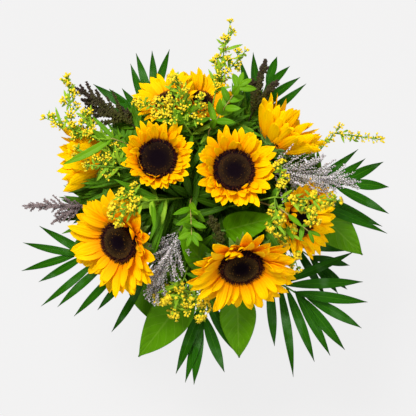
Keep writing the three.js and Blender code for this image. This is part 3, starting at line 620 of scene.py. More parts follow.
def smooth_line(points, steps):
    """Points on a smooth line through the given ones, with some steps between each two."""
    padded = [points[0] * 2 - points[1], *points, points[-1] * 2 - points[-2]]
    line = []
    for before, here, there, after in zip(padded, padded[1:], padded[2:], padded[3:]):
        for step in range(steps):
            t = step / steps
            line.append(
                here + (there - before) * (t / 2) + (before * 2 - here * 5 + there * 4 - after) * (t * t / 2)
                + (here * 3 - before - there * 3 + after) * (t ** 3 / 2))
    return [*line, points[-1]]


def narrowing(first, last, power, count):
    """Radii of a stalk that narrows from its foot to its end: the higher the power, the later."""
    return [first + (last - first) * (k / (count - 1)) ** power for k in range(count)]


def outline(start, swell, close):
    """Half widths of a blade from root to tip, the greatest being 1."""
    def width(share):
        return (start + share) ** swell * max(0.0, 1 - share) ** close

    samples, least = 50, 0.03
    most = max(width(k / samples) for k in range(samples + 1))
    return lambda share: max(width(share) / most, least)


PETAL = outline(0.13, 0.85, 0.64)
LEAFLET = outline(0.02, 0.95, 1.2)
OVATE = outline(0.02, 0.55, 1.15)
LANCE = outline(0.04, 0.75, 0.85)
BRACT = outline(0.5, 0.2, 0.9)


# Where a piece's paints stand: its own buds or leaves, its stalks and twigs, and the slender and the
# young leaves on them.
OWN, STALKS, SLENDER, YOUNG = range(4)


class Growth:
    """A piece that grows from many blades, stalks and buds.

    Blades stay open sheets until the end, when all of them get their thickness."""

    def __init__(self):
        self.sheets = new_mesh()
        self.solids = new_mesh()

    def add(self, part, place, paint=OWN, tone=0.5, along=None, thin=False):
        """Copies a basic part, puts each of its points in place and says how it is painted."""
        bm = self.sheets if thin else self.solids
        verts, faces = len(bm.verts), len(bm.faces)
        bm.from_mesh(part)
        bm.verts.ensure_lookup_table()
        bm.faces.ensure_lookup_table()
        layers = bm.verts.layers.float
        tone_layer, along_layer = layers["tone"], layers["along"]
        for vert in bm.verts[verts:]:
            vert.co = place(vert.co)
            vert[tone_layer] = tone
            if along is not None:
                vert[along_layer] = along
        for face in bm.faces[faces:]:
            face.material_index = paint
            face.smooth = True

    def blade(self, root, axes, length, width, shape, detail=(6, 9), paint=OWN, tone=0.5, bend=0.0,
              curl=0.0, sway=0.0, twist=0.0, fold=0.2, ridge=0.0, wave=0.0, phase=0.0):
        """A petal or leaf. It bends evenly, curls towards its tip, sways and twists along its length,
        is folded or cupped across it, and may have ridges and a wavy edge."""
        rows = detail[1]
        spine = []
        middle = root.copy()
        for row in range(rows + 1):
            share = row / rows
            slope, turn = bend * share + curl * share ** 4, twist * share
            run = axes.run * math.cos(slope) + axes.over * math.sin(slope)
            over = axes.over * math.cos(slope) - axes.run * math.sin(slope)
            side = axes.side * math.cos(turn) + over * math.sin(turn)
            over = over * math.cos(turn) - axes.side * math.sin(turn)
            spine.append((middle + axes.side * (sway * length * share * share), side, over))
            middle = middle + run * (length / rows)

        def place(co):
            share, u = (co.y + 1) / 2, co.x
            middle, side, over = spine[round(share * rows)]
            half = width / 2 * shape(share)
            height = half * fold * abs(u) ** 1.5
            height += ridge * math.cos(3 * math.pi * u) * math.sin(math.pi * share)
            height += wave * half * u * math.sin(9 * share + phase + (2 if u > 0 else 0))
            return middle + side * (half * u) + over * height

        self.add(sheet_part(*detail), place, paint, tone, thin=True)

    def stalk(self, points, radii, sides, paint=OWN, lobes=0, lay=0.0):
        """A round stalk along points. With lobes it is a strand of so many plies, turned by the lay from
        each point to the next."""
        last = len(points) - 1
        axes = [axes_about(points[1] - points[0])]
        for k in range(1, last + 1):
            way = points[min(k + 1, last)] - points[k - 1]
            axes.append(Axes(way, way.cross(axes[-1].over)))

        def place(co):
            k = round(co.z * last)
            radius = radii[k]
            if lobes:
                angle = math.atan2(co.y, co.x)
                radius *= 0.8 + 0.2 * abs(math.cos(lobes / 2 * (angle + lay * k)))
            return points[k] + axes[k].side * (co.x * radius) - axes[k].over * (co.y * radius)

        self.add(tube_part(sides, len(points)), place, paint)

    def lathe(self, place_of, profile, sides, tone=0.5, along=None):
        """A round body about an axis: place_of takes a distance out, an angle and a height."""
        def place(co):
            out, height = profile[round(co.z * (len(profile) - 1))]
            return place_of(out, math.atan2(co.y, co.x), height)

        self.add(tube_part(sides, len(profile)), place, tone=tone, along=along)

    def put(self, part, matrix, paint=OWN, tone=0.5, along=None):
        self.add(part, lambda co: matrix @ co, paint, tone, along)

    def finish(self, name, nodes, slot, paints, thickness=0.4 * MM):
        """Makes the object, which stands for its nodes."""
        if self.sheets.faces:
            bmesh.ops.solidify(self.sheets, geom=self.sheets.faces[:], thickness=thickness)
            thick = bpy.data.meshes.new("thick")
            self.sheets.to_mesh(thick)
            self.solids.from_mesh(thick)
            bpy.data.meshes.remove(thick)
        self.sheets.free()
        bmesh.ops.recalc_face_normals(self.solids, faces=self.solids.faces[:])
        mesh = bpy.data.meshes.new(name)
        self.solids.to_mesh(mesh)
        self.solids.free()
        mesh.polygons.foreach_set("use_smooth", [True] * len(mesh.polygons))
        piece = bpy.data.objects.new(name, mesh)
        bpy.context.scene.collection.objects.link(piece)
        for paint in paints:
            mesh.materials.append(paint)
        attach(piece, "root")
        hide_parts(*nodes)


def stalk_rings(node, count):
    """The middles and radii of the first rings of a node's stalk, read off its solid from the cut
    end up: each ring is next to the one before it."""
    bm = bmesh.new()
    bm.from_mesh(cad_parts[node].data)
    bmesh.ops.remove_doubles(bm, verts=bm.verts[:], dist=0.01 * MM)
    ring = {v for v in bm.verts if v.co.z < 0.1 * MM}
    seen = set(ring)
    middles, radii = [], []
    for _ in range(count):
        middle = sum((v.co for v in ring), Vector()) / len(ring)
        middles.append(middle)
        radii.append(max((v.co - middle).length for v in ring))
        ring = {edge.other_vert(v) for v in ring for edge in v.link_edges} - seen
        seen |= ring
    bm.free()
    return middles, radii


# ---- sunflowers ---------------------------------------------------------------------------------

BACK_TO_DISC = 2.85 * MM  # from the back of the petals to the foot of the disc
DISC_INSET = 0.9 * MM  # the petals' roots show this much outside the disc

# Profiles: shares of the disc's radius, and heights in millimetres.
DOME = [(1.0, 0.0), (0.99, 1.4), (0.93, 3.0), (0.83, 4.3), (0.7, 5.0), (0.56, 5.1), (0.4, 4.6), (0.22, 4.0),
        (0.02, 3.7)]
PETAL_RING = [(0.3, 0), (0.96, 0), (0.97, 2.4), (0.3, 2.6)]
CUP = [(0.3, -12.5), (0.62, -9), (0.9, -5), (0.97, -2.5), (0.92, -0.6), (0.1, -0.5)]

known_blooms = []


class Bloom:
    """A bloom's place, directions and disc, read off the solid of its disc."""

    def __init__(self, letter):
        self.letter = letter
        petal, rise, upturn, curl = BLOOMS[letter]
        self.petal = petal * MM
        self.rise = math.radians(rise)
        self.upturn = math.radians(upturn)
        self.curl = math.radians(curl)
        points = np.array([v.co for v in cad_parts[f"bloom_{letter}_disc"].data.vertices])
        points = np.unique(points.round(6), axis=0)
        middle = points.mean(axis=0)
        run = np.linalg.eigh(np.cov((points - middle).T))[1][:, 0]  # the way in which the disc is thinnest
        run = run if run[2] > 0 else -run
        heights = (points - middle) @ run
        outs = np.linalg.norm(points - middle - np.outer(heights, run), axis=1)
        self.disc = float(outs.max()) + DISC_INSET
        self.axes = axes_about(Vector(run))
        self.middle = Vector(middle) + self.axes.run * (float(heights.min()) - BACK_TO_DISC)

    def at(self, out, angle, height):
        """A place at a distance out from the axis, at an angle about it and at a height along it."""
        return self.middle + self.axes.turned(angle) * out + self.axes.run * height

    def uphill(self, angle):
        """How far an angle is on the side away from the lean, from -1 to 1."""
        level = math.hypot(self.axes.run.x, self.axes.run.y)
        return self.axes.turned(angle).z / level if level > 0.05 else 0.0

    def out_axes(self, angle, rise):
        """Directions of what runs out at an angle, and rises so far from the disc's plane."""
        outward = self.axes.turned(angle)
        run = outward * math.cos(rise) + self.axes.run * math.sin(rise)
        return Axes(run, outward.cross(self.axes.run))


def blooms():
    """All blooms, read once."""
    if not known_blooms:
        known_blooms.extend(Bloom(letter) for letter in BLOOMS)
    return known_blooms


def dome_height(share):
    """Height of the disc's dome at a share of its radius."""
    outs = [out for out, _ in reversed(DOME)]
    heights = [height for _, height in reversed(DOME)]
    return float(np.interp(share, outs, heights)) * MM


# Layers of petals from the back: share of a full ring, added rise, length, height, unruliness.
PETAL_LAYERS = [
    (1.0, -12, 1.0, 0.2, 0.8),
    (1.0, -3, 0.98, 0.9, 1.0),
    (0.7, 8, 0.86, 1.7, 1.5),
]


def grow_petals(bloom, settings, paint):
    draw = random.Random(f"petals {bloom.letter}")
    piece = Growth()
    width = bloom.petal * settings.slenderness
    alone = 0.72 if bloom.letter in CROWDED else 0.86  # share of its width that a petal has to itself
    full = round(2 * math.pi * (bloom.disc + bloom.petal * 0.3) / (width * alone))
    piece.lathe(bloom.at, [(bloom.disc * out, up * MM) for out, up in PETAL_RING], 24, along=0.0)
    for layer, (share, lift, length_share, height, unruly) in enumerate(PETAL_LAYERS):
        count = round(full * share)
        for k in range(count):
            angle = 2 * math.pi * (k + layer / 2 + draw.uniform(-0.3, 0.3) * unruly) / count
            uphill = bloom.uphill(angle)
            rise = bloom.rise + bloom.upturn * uphill + math.radians(lift + draw.uniform(-8, 9) * unruly)
            axes = bloom.out_axes(angle + draw.uniform(-0.14, 0.14) * unruly, rise)
            if bloom.letter in TURNED:
                axes = rolled_axes(axes, axes.side.z * 0.9)
            likely = (settings.rolled + max(0.0, uphill) * bloom.upturn * 1.6) * unruly
            rolled = bloom.rise < UPRIGHT and draw.random() < likely
            bend = -bloom.curl * draw.uniform(0.0, 2.0)
            curl = math.radians(draw.uniform(-32, 18))
            length = bloom.petal * length_share * draw.uniform(0.84, 1.12) + bloom.disc * 0.07
            if rolled:
                bend += math.radians(draw.uniform(0, 35))
                curl = math.radians(draw.uniform(40, 100))
                length *= 0.8
            piece.blade(
                bloom.at(bloom.disc * 0.93, angle, height * MM), axes,
                length=length, width=width * draw.uniform(0.8, 1.2), shape=PETAL,
                tone=draw.random() - DEEP.get(bloom.letter, 0.0), bend=bend, curl=curl,
                sway=draw.uniform(-0.13, 0.13) * unruly,
                twist=draw.uniform(-0.28, 0.28) * unruly,
                fold=draw.uniform(0.5, 0.9) if rolled else draw.uniform(0.1, 0.42), ridge=settings.groove,
                wave=draw.uniform(0, 0.08), phase=draw.uniform(0, 6))
    node = f"bloom_{bloom.letter}_petals"
    piece.finish(f"petals_{bloom.letter}", [node], "petals", [paint], settings.thickness)


def grow_disc(bloom, settings, paint):
    draw = random.Random(f"disc {bloom.letter}")
    piece = Growth()
    radius = bloom.disc - DISC_INSET
    profile = [(radius * 0.2, BACK_TO_DISC)]
    profile += [(radius * out, height * MM + BACK_TO_DISC) for out, height in DOME]
    piece.lathe(bloom.at, profile, 36, tone=0.3, along=0.2)

    def on_dome(share, angle, sunk):
        """A place a little below the dome's skin."""
        return bloom.at(radius * share, angle, BACK_TO_DISC + dome_height(share) - sunk)

    ripe = 1.0 if bloom.letter in RIPE else 0.75
    closed = 0.8  # share of the radius that closed florets cover
    for k in range(settings.florets):
        share = closed * math.sqrt((k + 0.5) / settings.florets)
        angle = k * GOLDEN_ANGLE
        slope = (dome_height(share + 0.03) - dome_height(share - 0.03)) / (0.06 * radius)
        axes = bloom.out_axes(angle, math.pi / 2 + math.atan(slope))
        size = radius * closed / math.sqrt(settings.florets)
        length = draw.uniform(0.9, 1.3) * MM + share * 0.5 * MM
        floret = axes.matrix(on_dome(share, angle, 0.3 * MM), size * 0.98, length)
        piece.put(spike_part(), floret, tone=draw.random(), along=share * ripe)
    for k in range(settings.fringe):
        share = draw.uniform(0.82, 1.03)
        angle = k * GOLDEN_ANGLE
        axes = bloom.out_axes(angle + draw.uniform(-0.2, 0.2), math.radians(draw.uniform(8, 75)))
        floret = axes.matrix(on_dome(share, angle, 0.5 * MM), 0.8 * MM, draw.uniform(2.6, 4.8) * MM)
        piece.put(spike_part(), floret, tone=draw.random(), along=0.95)
    piece.finish(f"disc_{bloom.letter}", [f"bloom_{bloom.letter}_disc"], "disc", [paint])


def grow_bloom_stem(bloom, settings, paint):
    """Stem, cup and bracts, which are one grown thing."""
    draw = random.Random(f"stem {bloom.letter}")
    piece = Growth()
    name = f"bloom_{bloom.letter}_stem"
    rings, radii = stalk_rings(name, 7)
    steps = 4
    line = smooth_line(rings, steps)
    widths = [float(np.interp(k / steps, range(len(radii)), radii)) for k in range(len(line))]
    piece.stalk(line, widths, 12)
    neck = radii[-1]
    profile = [(neck * 0.8, -18), (neck * 1.1, -16), *((bloom.disc * out, up) for out, up in CUP)]
    piece.lathe(bloom.at, [(out, up * MM) for out, up in profile], 28, tone=0.3)
    for row in range(2):
        for k in range(settings.bracts):
            angle = 2 * math.pi * (k + row / 2 + draw.uniform(-0.15, 0.15)) / settings.bracts
            rise = bloom.rise - math.radians(24 + 14 * row + draw.uniform(-6, 6))
            piece.blade(
                bloom.at(bloom.disc * (0.9 - 0.12 * row), angle, (-2.4 - 2.6 * row) * MM),
                bloom.out_axes(angle, rise), length=bloom.disc * draw.uniform(0.66, 0.92),
                width=bloom.disc * 0.46, shape=BRACT, detail=(4, 6), tone=draw.random(),
                bend=math.radians(draw.uniform(-40, 0)), fold=0.35, twist=draw.uniform(-0.2, 0.2))
    for _ in range(settings.hairs):
        share = draw.uniform(0.02, 0.97) * (len(rings) - 1)
        k = int(share)
        place = rings[k].lerp(rings[k + 1], share - k)
        axes = axes_about(rings[k + 1] - rings[k])
        out = leaning(axes, math.radians(draw.uniform(60, 95)), draw.uniform(0, 2 * math.pi))
        length = radii[k] + draw.uniform(0.7, 1.6) * MM
        piece.put(spike_part(), axes_about(out).matrix(place, 0.09 * MM, length), tone=0.9)
    piece.finish(f"stem_{bloom.letter}", [name], "stem", [paint], 0.6 * MM)


# ---- palm fronds and broad leaves ---------------------------------------------------------------


def level_beside(start, end):
    """The level direction to the right of a way."""
    angle = math.atan2(end.y - start.y, end.x - start.x)
    return Vector((math.sin(angle), -math.cos(angle), 0))


def grow_frond(number, palm, settings, paints):
    """A rib with leaflets on both sides, each from the middle of its stretch of the rib to its tip."""
    start, end, width, height, last_tip, left, right = palm
    start, end = spot(*start), spot(*end)
    draw = random.Random(f"frond {number}")
    name = f"palm_{number}"
    arch = UP * ((end - start).length * 0.25)
    pairs = len(left)
    ribs = [start.lerp(end, k / pairs) + arch * (k / pairs * (1 - k / pairs)) for k in range(pairs + 1)]
    middles, radii = stalk_rings(name, 5)
    piece = Growth()
    line = smooth_line([*middles, *ribs], 3)
    piece.stalk(line, narrowing(radii[0], 0.7 * MM, 1.6, len(line)), 8, STALKS)
    leaflets = [(ribs[-1], last_tip)]
    for k in range(pairs):
        root = ribs[k].lerp(ribs[k + 1], 0.5)
        leaflets += [(root, tips[k]) for tips in (left, right) if tips[k]]
    for root, tip in leaflets:
        chord = spot(*tip, height) - root
        bend = math.radians(draw.uniform(-36, -16))
        level = Axes(chord, level_beside(root, root + chord))
        run = level.run * math.cos(bend / 2) - level.over * math.sin(bend / 2)
        curve = draw.uniform(-0.05, 0.05)
        aside = Axes(run, level.side).side
        foot = root - aside * (curve * chord.length * 0.5)
        axes = Axes(run - aside * curve * 0.5, level.side)
        piece.blade(foot, axes, chord.length * 1.01, width * MM * draw.uniform(0.92, 1.1), LEAFLET,
                    detail=(6, 16), tone=draw.random(), bend=bend, sway=curve, fold=draw.uniform(0.2, 0.45),
                    wave=0.02, twist=draw.uniform(-0.35, 0.35))
    piece.finish(name.replace("palm", "frond"), [name], "palm", paints, settings.thickness)


def grow_broad_leaf(number, leaf, settings, paints):
    start, end, width = leaf
    start, end = spot(*start), spot(*end)
    draw = random.Random(f"broad leaf {number}")
    name = f"broad_leaf_{number}"
    middles, radii = stalk_rings(name, 5)
    piece = Growth()
    line = smooth_line([*middles, start], 3)
    rings = len(line)
    piece.stalk(line, [radii[0] + (1.1 * MM - radii[0]) * k / rings for k in range(rings)], 8, STALKS)
    beside = level_beside(start, end)
    level = Axes(end - start, beside)
    rise = math.radians(13)
    axes = Axes(level.run * math.cos(rise) + level.over * math.sin(rise), beside)
    length = (end - start).length * 1.02
    bend = math.radians(-26)
    piece.blade(start, axes, length, width * MM, OVATE, detail=(16, 24), tone=draw.random() * 0.6, bend=bend,
                fold=0.24, wave=0.09, phase=draw.uniform(0, 6), sway=draw.uniform(-0.03, 0.03))
    piece.finish(name.replace("broad_", ""), [name], "leaf", paints, settings.thickness)


# ---- sprays -------------------------------------------------------------------------------------

# Stalk and leaves of each kind of spray: radius of the stalk, number of leaves, how far down the
# stalk they reach, their length and width, and the slot of the whole spray.
KINDS = {
    "goldenrod": {"stalk": 1.5, "leaves": 92, "reach": 125, "leaf": (44, 8), "slot": "goldenrod"},
    "statice": {"stalk": 1.5, "leaves": 76, "reach": 120, "leaf": (42, 8), "slot": "statice"},
    "heather": {"stalk": 1.5, "leaves": 66, "reach": 110, "leaf": (38, 7), "slot": "heather"},
    "leafy_sprig": {"stalk": 1.4, "leaves": 72, "reach": 120, "leaf": (40, 9), "slot": "sprig"},
}

# Goldenrods: space between twigs and length of a twig in millimetres, share of open florets, size of
# buds and florets.
GOLDENRODS = [
    (10, 9, 0.1, 1.0), (15, 8, 0.05, 0.95), (9, 15, 0.2, 1.0), (5, 4, 0.05, 1.05),
    (15, 9, 0.6, 1.2), (10, 15, 0.5, 1.15), (8, 16, 0.5, 1.2), (14, 13, 0.1, 0.85),
]

# Heathers: space between spikes, length and radius of a spike in millimetres, how far spikes spread in
# degrees and how brown they are. The first is the grey statice, the last is young all over.
HEATHERS = [
    (2.4, 17, 2.2, 36, 1.0), (4.2, 30, 2.9, 30, 1.0), (3.4, 15, 3.5, 18, 0.8), (3.2, 17, 2.9, 26, 0.35),
]

# Leafy sprigs: pairs of leaves, length and width of a leaf. The one without pairs ends in a long leaf.
SPRIGS = [(7, 27, 8.5), (7, 27, 7.5), (0, 64, 9.5), (2, 26, 6)]


class Arc:
    """The bowed way of a spray's flowering part, and the directions along it."""

    def __init__(self, foot, tip, rise=0.2):
        self.foot = foot
        self.run = tip - foot
        self.length = self.run.length
        self.rise = rise
        self.axes = axes_about(self.run)

    def at(self, share):
        return self.foot + self.run * share + UP * (self.rise * self.length * share * (1 - share))


def twig_line(piece, root, axes, length, draw, thick, lift=0.12):
    """A bowed twig. Returns how to find a place on it."""
    rise = UP * (length * draw.uniform(0, 2 * lift))
    bow = axes.turned(draw.uniform(0, 6.3)) * (length * 0.12)

    def at(share):
        return root + axes.run * (length * share) + rise * (share * share) + bow * (share * (1 - share))

    radii = [thick * share for share in (1, 0.8, 0.65, 0.5)]
    piece.stalk([at(share) for share in (0, 0.35, 0.7, 1)], radii, 4, STALKS)
    return at


def umbel(piece, place, run, count, spread, stem, draw, buds, leaves):
    """A bunch of short-stalked buds and open florets at the end of a twig."""
    axes = axes_about(run)
    size, opened = buds
    for k in range(count):
        tilt = math.radians(spread) * math.sqrt((k + 0.5) / count)
        out = (leaning(axes, tilt, k * GOLDEN_ANGLE + draw.uniform(-0.4, 0.4)) + UP * 0.2).normalized()
        head = place + out * (stem * MM * draw.uniform(0.55, 1.2))
        about = axes_about(out)
        piece.stalk([place, head], [0.42 * MM, 0.34 * MM], 3, STALKS)
        if draw.random() < opened:
            reach = size * 2.7 * MM * draw.uniform(0.8, 1.15)
            piece.put(floret_part(5), about.matrix(head, reach, reach), tone=draw.random())
        else:
            reach = size * 1.3 * MM * draw.uniform(0.75, 1.15)
            bud = about.matrix(head + out * reach, reach, reach * 1.45)
            piece.put(bud_part(), bud, tone=draw.random())
    for k in range(leaves):
        out = leaning(axes, math.radians(draw.uniform(40, 90)), draw.uniform(0, 6.3))
        slender_leaf(piece, place - axes.run * (stem * MM * draw.uniform(0, 2)), out,
                     (draw.uniform(7, 13), 2.8), draw, YOUNG, detail=(2, 4))


def goldenrod_twig(piece, root, axes, length, draw, buds, deep=True):
    at = twig_line(piece, root, axes, length, draw, (0.8 if deep else 0.6) * MM)
    umbel(piece, at(1), at(1) - at(0.8), draw.randint(3, 6), 58, 4.6, draw, buds, draw.randint(0, 1))
    for k in range(3 if deep else 1):
        share = 0.3 + 0.6 * (k + draw.uniform(0, 0.8)) / 3
        out = leaning(axes, math.radians(draw.uniform(30, 55)), k * GOLDEN_ANGLE + draw.uniform(-0.6, 0.6))
        if deep and k == 1:
            short = length * draw.uniform(0.35, 0.55)
            goldenrod_twig(piece, at(share), axes_about(out), short, draw, buds, deep=False)
        else:
            umbel(piece, at(share), out, draw.randint(1, 2), 40, 4.8, draw, buds, 1)


def grow_goldenrod(piece, arc, draw, number):
    """Side twigs that end in small umbels of buds, with small leaves among them."""
    space, twig_length, opened, size = GOLDENRODS[number - 1]
    buds = (size, opened)
    twigs = max(3, round(arc.length / MM / space))
    for k in range(twigs):
        share = 0.12 + 0.82 * (k + 0.4) / twigs
        out = leaning(arc.axes, math.radians(draw.uniform(36, 60)), k * GOLDEN_ANGLE)
        length = twig_length * MM * (1.15 - 0.5 * share) * draw.uniform(0.7, 1.25)
        if number == THIN_GOLDENROD:
            umbel(piece, arc.at(share), out, 3, 40, 5.5, draw, buds, 1 if share < 0.6 else 0)
            continue
        goldenrod_twig(piece, arc.at(share), axes_about(out), length, draw, buds)
        for _ in range(draw.randint(0, 2)):
            leaf_run = leaning(arc.axes, math.radians(draw.uniform(30, 65)), draw.uniform(0, 6.3))
            root = arc.at(share * draw.uniform(0.6, 1))
            slender_leaf(piece, root, leaf_run, (draw.uniform(14, 25), 3.8), draw, YOUNG, detail=(4, 6))
    umbel(piece, arc.at(1), arc.axes.run, 6, 60, 4.4, draw, buds, 1)


def grow_statice(piece, arc, draw, number):
    """Many thin twigs that run nearly side by side, each set with small florets all along."""
    if number == GREY_STATICE:
        grow_heather(piece, arc, draw, 0)
        return
    twigs = 95
    for k in range(twigs):
        share = 0.85 * draw.random() ** 1.2
        spread = math.radians(draw.uniform(8, 70) * (1.1 - 0.5 * share))
        axes = axes_about(leaning(arc.axes, spread, k * GOLDEN_ANGLE))
        length = arc.length * (0.5 - 0.3 * share) * draw.uniform(0.6, 1.15)
        at = twig_line(piece, arc.at(share), axes, length, draw, 0.45 * MM, 0.05)
        florets = round(length / (1.6 * MM))
        for f in range(florets):
            place = at(0.15 + 0.85 * (f + 0.5) / florets)
            tilt = math.radians(draw.uniform(30, 85))
            out = leaning(axes, tilt, f * GOLDEN_ANGLE + draw.uniform(-0.5, 0.5))
            reach = draw.uniform(0.7, 1.8) * MM
            part, width = (floret_part(4), reach) if draw.random() < 0.75 else (spike_part(), reach * 0.5)
            piece.put(part, axes_about(out).matrix(place, width, reach * 1.5), tone=draw.random())


def heather_spike(piece, at, length, radius, draw, age):
    """A twig covered all round with small pointed scales that lie along it. Its age at its foot and at
    its tip says how brown it is."""
    rows = round(length / (1.25 * MM))
    phase = draw.uniform(0, 3)
    for row in range(rows):
        share = (row + 0.5) / rows
        axes = axes_about(at(min(1.0, share + 0.05)) - at(max(0.0, share - 0.05)))
        knob = 0.62 + 0.6 * abs(math.sin(row * 0.85 + phase))
        swell = radius * (1.0 - 0.45 * share ** 3) * knob * draw.uniform(0.75, 1.25)
        for k in range(4):
            out = leaning(axes, math.radians(draw.uniform(30, 75)), (row * 4 + k) * GOLDEN_ANGLE)
            place = at(share) + out * (swell * 0.55)
            matrix = axes_about(out).matrix(place, swell * 0.34, swell * 0.62)
            tone = draw.random()
            brown = age[0] + (age[1] - age[0]) * share + draw.uniform(-0.15, 0.15)
            piece.put(bud_part(), matrix, tone=tone, along=from_0_to_1(brown))


def grow_heather(piece, arc, draw, number):
    """Dense spikes of scale-like buds that run side by side."""
    space, spike, radius, spread, ripe = HEATHERS[number]
    heather_spike(piece, arc.at, arc.length, radius * 1.1 * MM, draw, (0.05 * ripe, 0.95 * ripe))
    spikes = round(arc.length / MM / space)
    for k in range(spikes):
        share = 0.02 + 0.86 * k / spikes
        axes = axes_about(leaning(arc.axes, math.radians(spread * draw.uniform(0.7, 1.4)), k * GOLDEN_ANGLE))
        length = spike * MM * (1.15 - 0.7 * share) * draw.uniform(0.65, 1.2)
        length *= min(1.0, arc.length / (45 * MM))  # shorter on a short branch
        at = twig_line(piece, arc.at(share), axes, length, draw, 0.5 * MM, 0.03)
        heather_spike(piece, at, length, radius * draw.uniform(0.8, 1.05) * MM, draw,
                      (share * 0.7 * ripe, (share * 0.7 + 0.4) * ripe))


def grow_leafy_sprig(piece, arc, draw, number):
    """Pairs of leaves along a slender stalk."""
    pairs, leaf_length, leaf_width = SPRIGS[number - 1]
    if not pairs:
        axes = axes_about(arc.run + UP * (12 * MM))
        piece.blade(arc.foot, axes, leaf_length * MM, leaf_width * MM, LANCE, detail=(6, 14), tone=0.9,
                    bend=-0.5, sway=0.16, fold=0.3)
        return
    for k in range(pairs):
        share = (k + 0.5) / pairs
        for hand in (0, math.pi):
            spread = math.radians(draw.uniform(38, 62))
            out = leaning(arc.axes, spread, hand + k * 1.3 + draw.uniform(-0.2, 0.2))
            size = (leaf_length * draw.uniform(0.85, 1.15) * (1.1 - 0.4 * share), leaf_width)
            slender_leaf(piece, arc.at(share), out, size, draw, OWN)
    small = (leaf_length * 0.65, leaf_width * 0.8)
    for hand in (-1.5, 1.5):
        slender_leaf(piece, arc.at(0.98), leaning(arc.axes, 0.4, hand), small, draw, OWN)


def slender_leaf(piece, root, run, size, draw, paint, bend=(-55, -10), unruly=1.0, tone=None, detail=(4, 8)):
    """A small leaf. Its length and width are in millimetres, its bend is drawn from a range in degrees."""
    length, width = size
    piece.blade(root, axes_about(run), length * MM, width * MM, LANCE, detail=detail, paint=paint,
                tone=draw.random() if tone is None else tone, bend=math.radians(draw.uniform(*bend)),
                fold=draw.uniform(0.1, 0.4), sway=draw.uniform(-0.12, 0.12) * unruly,
                twist=draw.uniform(-0.5, 0.5) * unruly, wave=0.05, phase=draw.uniform(0, 6))


# A level net of cells tells where the camera would still see the floor.
CELL = 4 * MM
NET_LEVEL = 360 * MM
FULL_REACH = 146 * MM  # how far from the axis the bunch lets no floor show
HIDING_SHARE = 0.58  # of a petal's length, up to which it surely hides what is below

# How far the leaves down the stalks keep clear: beyond a bloom's petals, behind them and before them,
# below the middle line of an upright bloom, and below a broad leaf or a spray that shows as a whole.
CLEAR_BEYOND, CLEAR_BEHIND, CLEAR_BEFORE = 3 * MM, 9 * MM, 70 * MM
CLEAR_BELOW_UPRIGHT = 5 * MM
CLEAR_BELOW_LEAF = 6 * MM
OPEN_SPRAY_WIDTH = 34  # millimetres across such a spray

# Each of these leaves is the best of so many tries. Most tries aim at one of so many bare cells.
TRIES = 20
CELLS_A_TRY = 30

# Down the stalk they get longer, broader and darker with painted shade, by 1 each time they are so much
# deeper, and young ones stand only so far down.
LONGER_BY = 42 * MM
BROADER_BY = 90 * MM
PAINTED_SHADE_BY = 48 * MM
YOUNG_DOWN_TO = 50 * MM

covered_cells = set()


def in_line(place, level):
    """Where the line from the camera through a place passes a level."""
    eye = spot(*CAMERA_SPOT)
    return eye + (place - eye) * ((eye.z - level) / (eye.z - place.z))


def cell_of(place):
    seen = in_line(place, NET_LEVEL)
    return round(seen.x / CELL), round(seen.y / CELL)


def cover(place):
    covered_cells.add(cell_of(place))


def cover_blooms_and_broad_leaves():
    """Marks the cells that the blooms and broad leaves hide."""
    covered_cells.clear()
    for bloom in blooms():
        for degrees in range(0, 360, 4):
            angle = math.radians(degrees)
            run = bloom.out_axes(angle, bloom.rise + bloom.upturn * bloom.uphill(angle)).run
            for step in range(14):
                cover(bloom.at(bloom.disc * step / 13, angle, 0))
                cover(bloom.at(bloom.disc, angle, 0) + run * (bloom.petal * HIDING_SHARE * step / 13))
    for start, end, width in LEAVES:
        start, end = spot(*start), spot(*end)
        beside = level_beside(start, end) * (width * MM * 0.5)
        for step in range(3, 30):
            for aside in range(-7, 8):
                cover(start.lerp(end, step / 30) + beside * (OVATE(step / 30) * aside / 7))


def within_reach(offset):
    """Whether the bunch hides the floor at an offset from its axis: a little further out on the left."""
    towards_left = max(0.0, -offset.x / (offset.length or 1.0))
    return offset.length < FULL_REACH * (1 + 0.12 * towards_left ** 7)


def gain(places):
    """How many cells that show the floor a leaf through these places would hide."""
    cells = {cell_of(place) for place in places if within_reach((place - AXIS).xy)}
    return len(cells - covered_cells)


def over_a_leaf(place):
    """Whether a place lies on or above a broad leaf, or a spray that shows as a whole."""
    open_sprays = [(start, end, OPEN_SPRAY_WIDTH) for start, end, *_ in SPRAYS["heather"] + SPRAYS["statice"]]
    for start, end, width in LEAVES + open_sprays:
        start, end = spot(*start), spot(*end)
        way = end - start
        nearest = start + way * from_0_to_1((place - start).xy.dot(way.xy) / way.xy.length_squared)
        if (place - nearest).xy.length < width * MM * 0.45 and place.z > nearest.z - CLEAR_BELOW_LEAF:
            return True
    return False


def in_a_bloom(place):
    """Whether a place lies among a bloom's petals or in front of them."""
    for bloom in blooms():
        offset = place - bloom.middle
        height = offset.dot(bloom.axes.run)
        out = (offset - bloom.axes.run * height).length
        reach = bloom.disc + bloom.petal * math.cos(bloom.rise)
        cup = max(0.0, out - bloom.disc) * math.tan(bloom.rise - 0.2)
        if out < reach + CLEAR_BEYOND and cup - CLEAR_BEHIND < height < CLEAR_BEFORE:
            return True
        if bloom.rise > UPRIGHT:
            run = bloom.axes.run * bloom.petal
            share = from_0_to_1(offset.xy.dot(run.xy) / run.xy.length_squared)
            aside = (offset - run * share).xy.length
            above = offset.z > run.z * share - CLEAR_BELOW_UPRIGHT
            if share > 0.3 and aside < bloom.disc + bloom.petal * 0.2 and above:
                return True
    return False


def place_down(way, down):
    """A place at a distance down a way from its end, and the directions there."""
    step = len(way) - 2
    while step > 0 and down > (way[step + 1] - way[step]).length:
        down -= (way[step + 1] - way[step]).length
        step -= 1
    run = way[step + 1] - way[step]
    return way[step + 1].lerp(way[step], min(1.0, down / run.length)), axes_about(run)


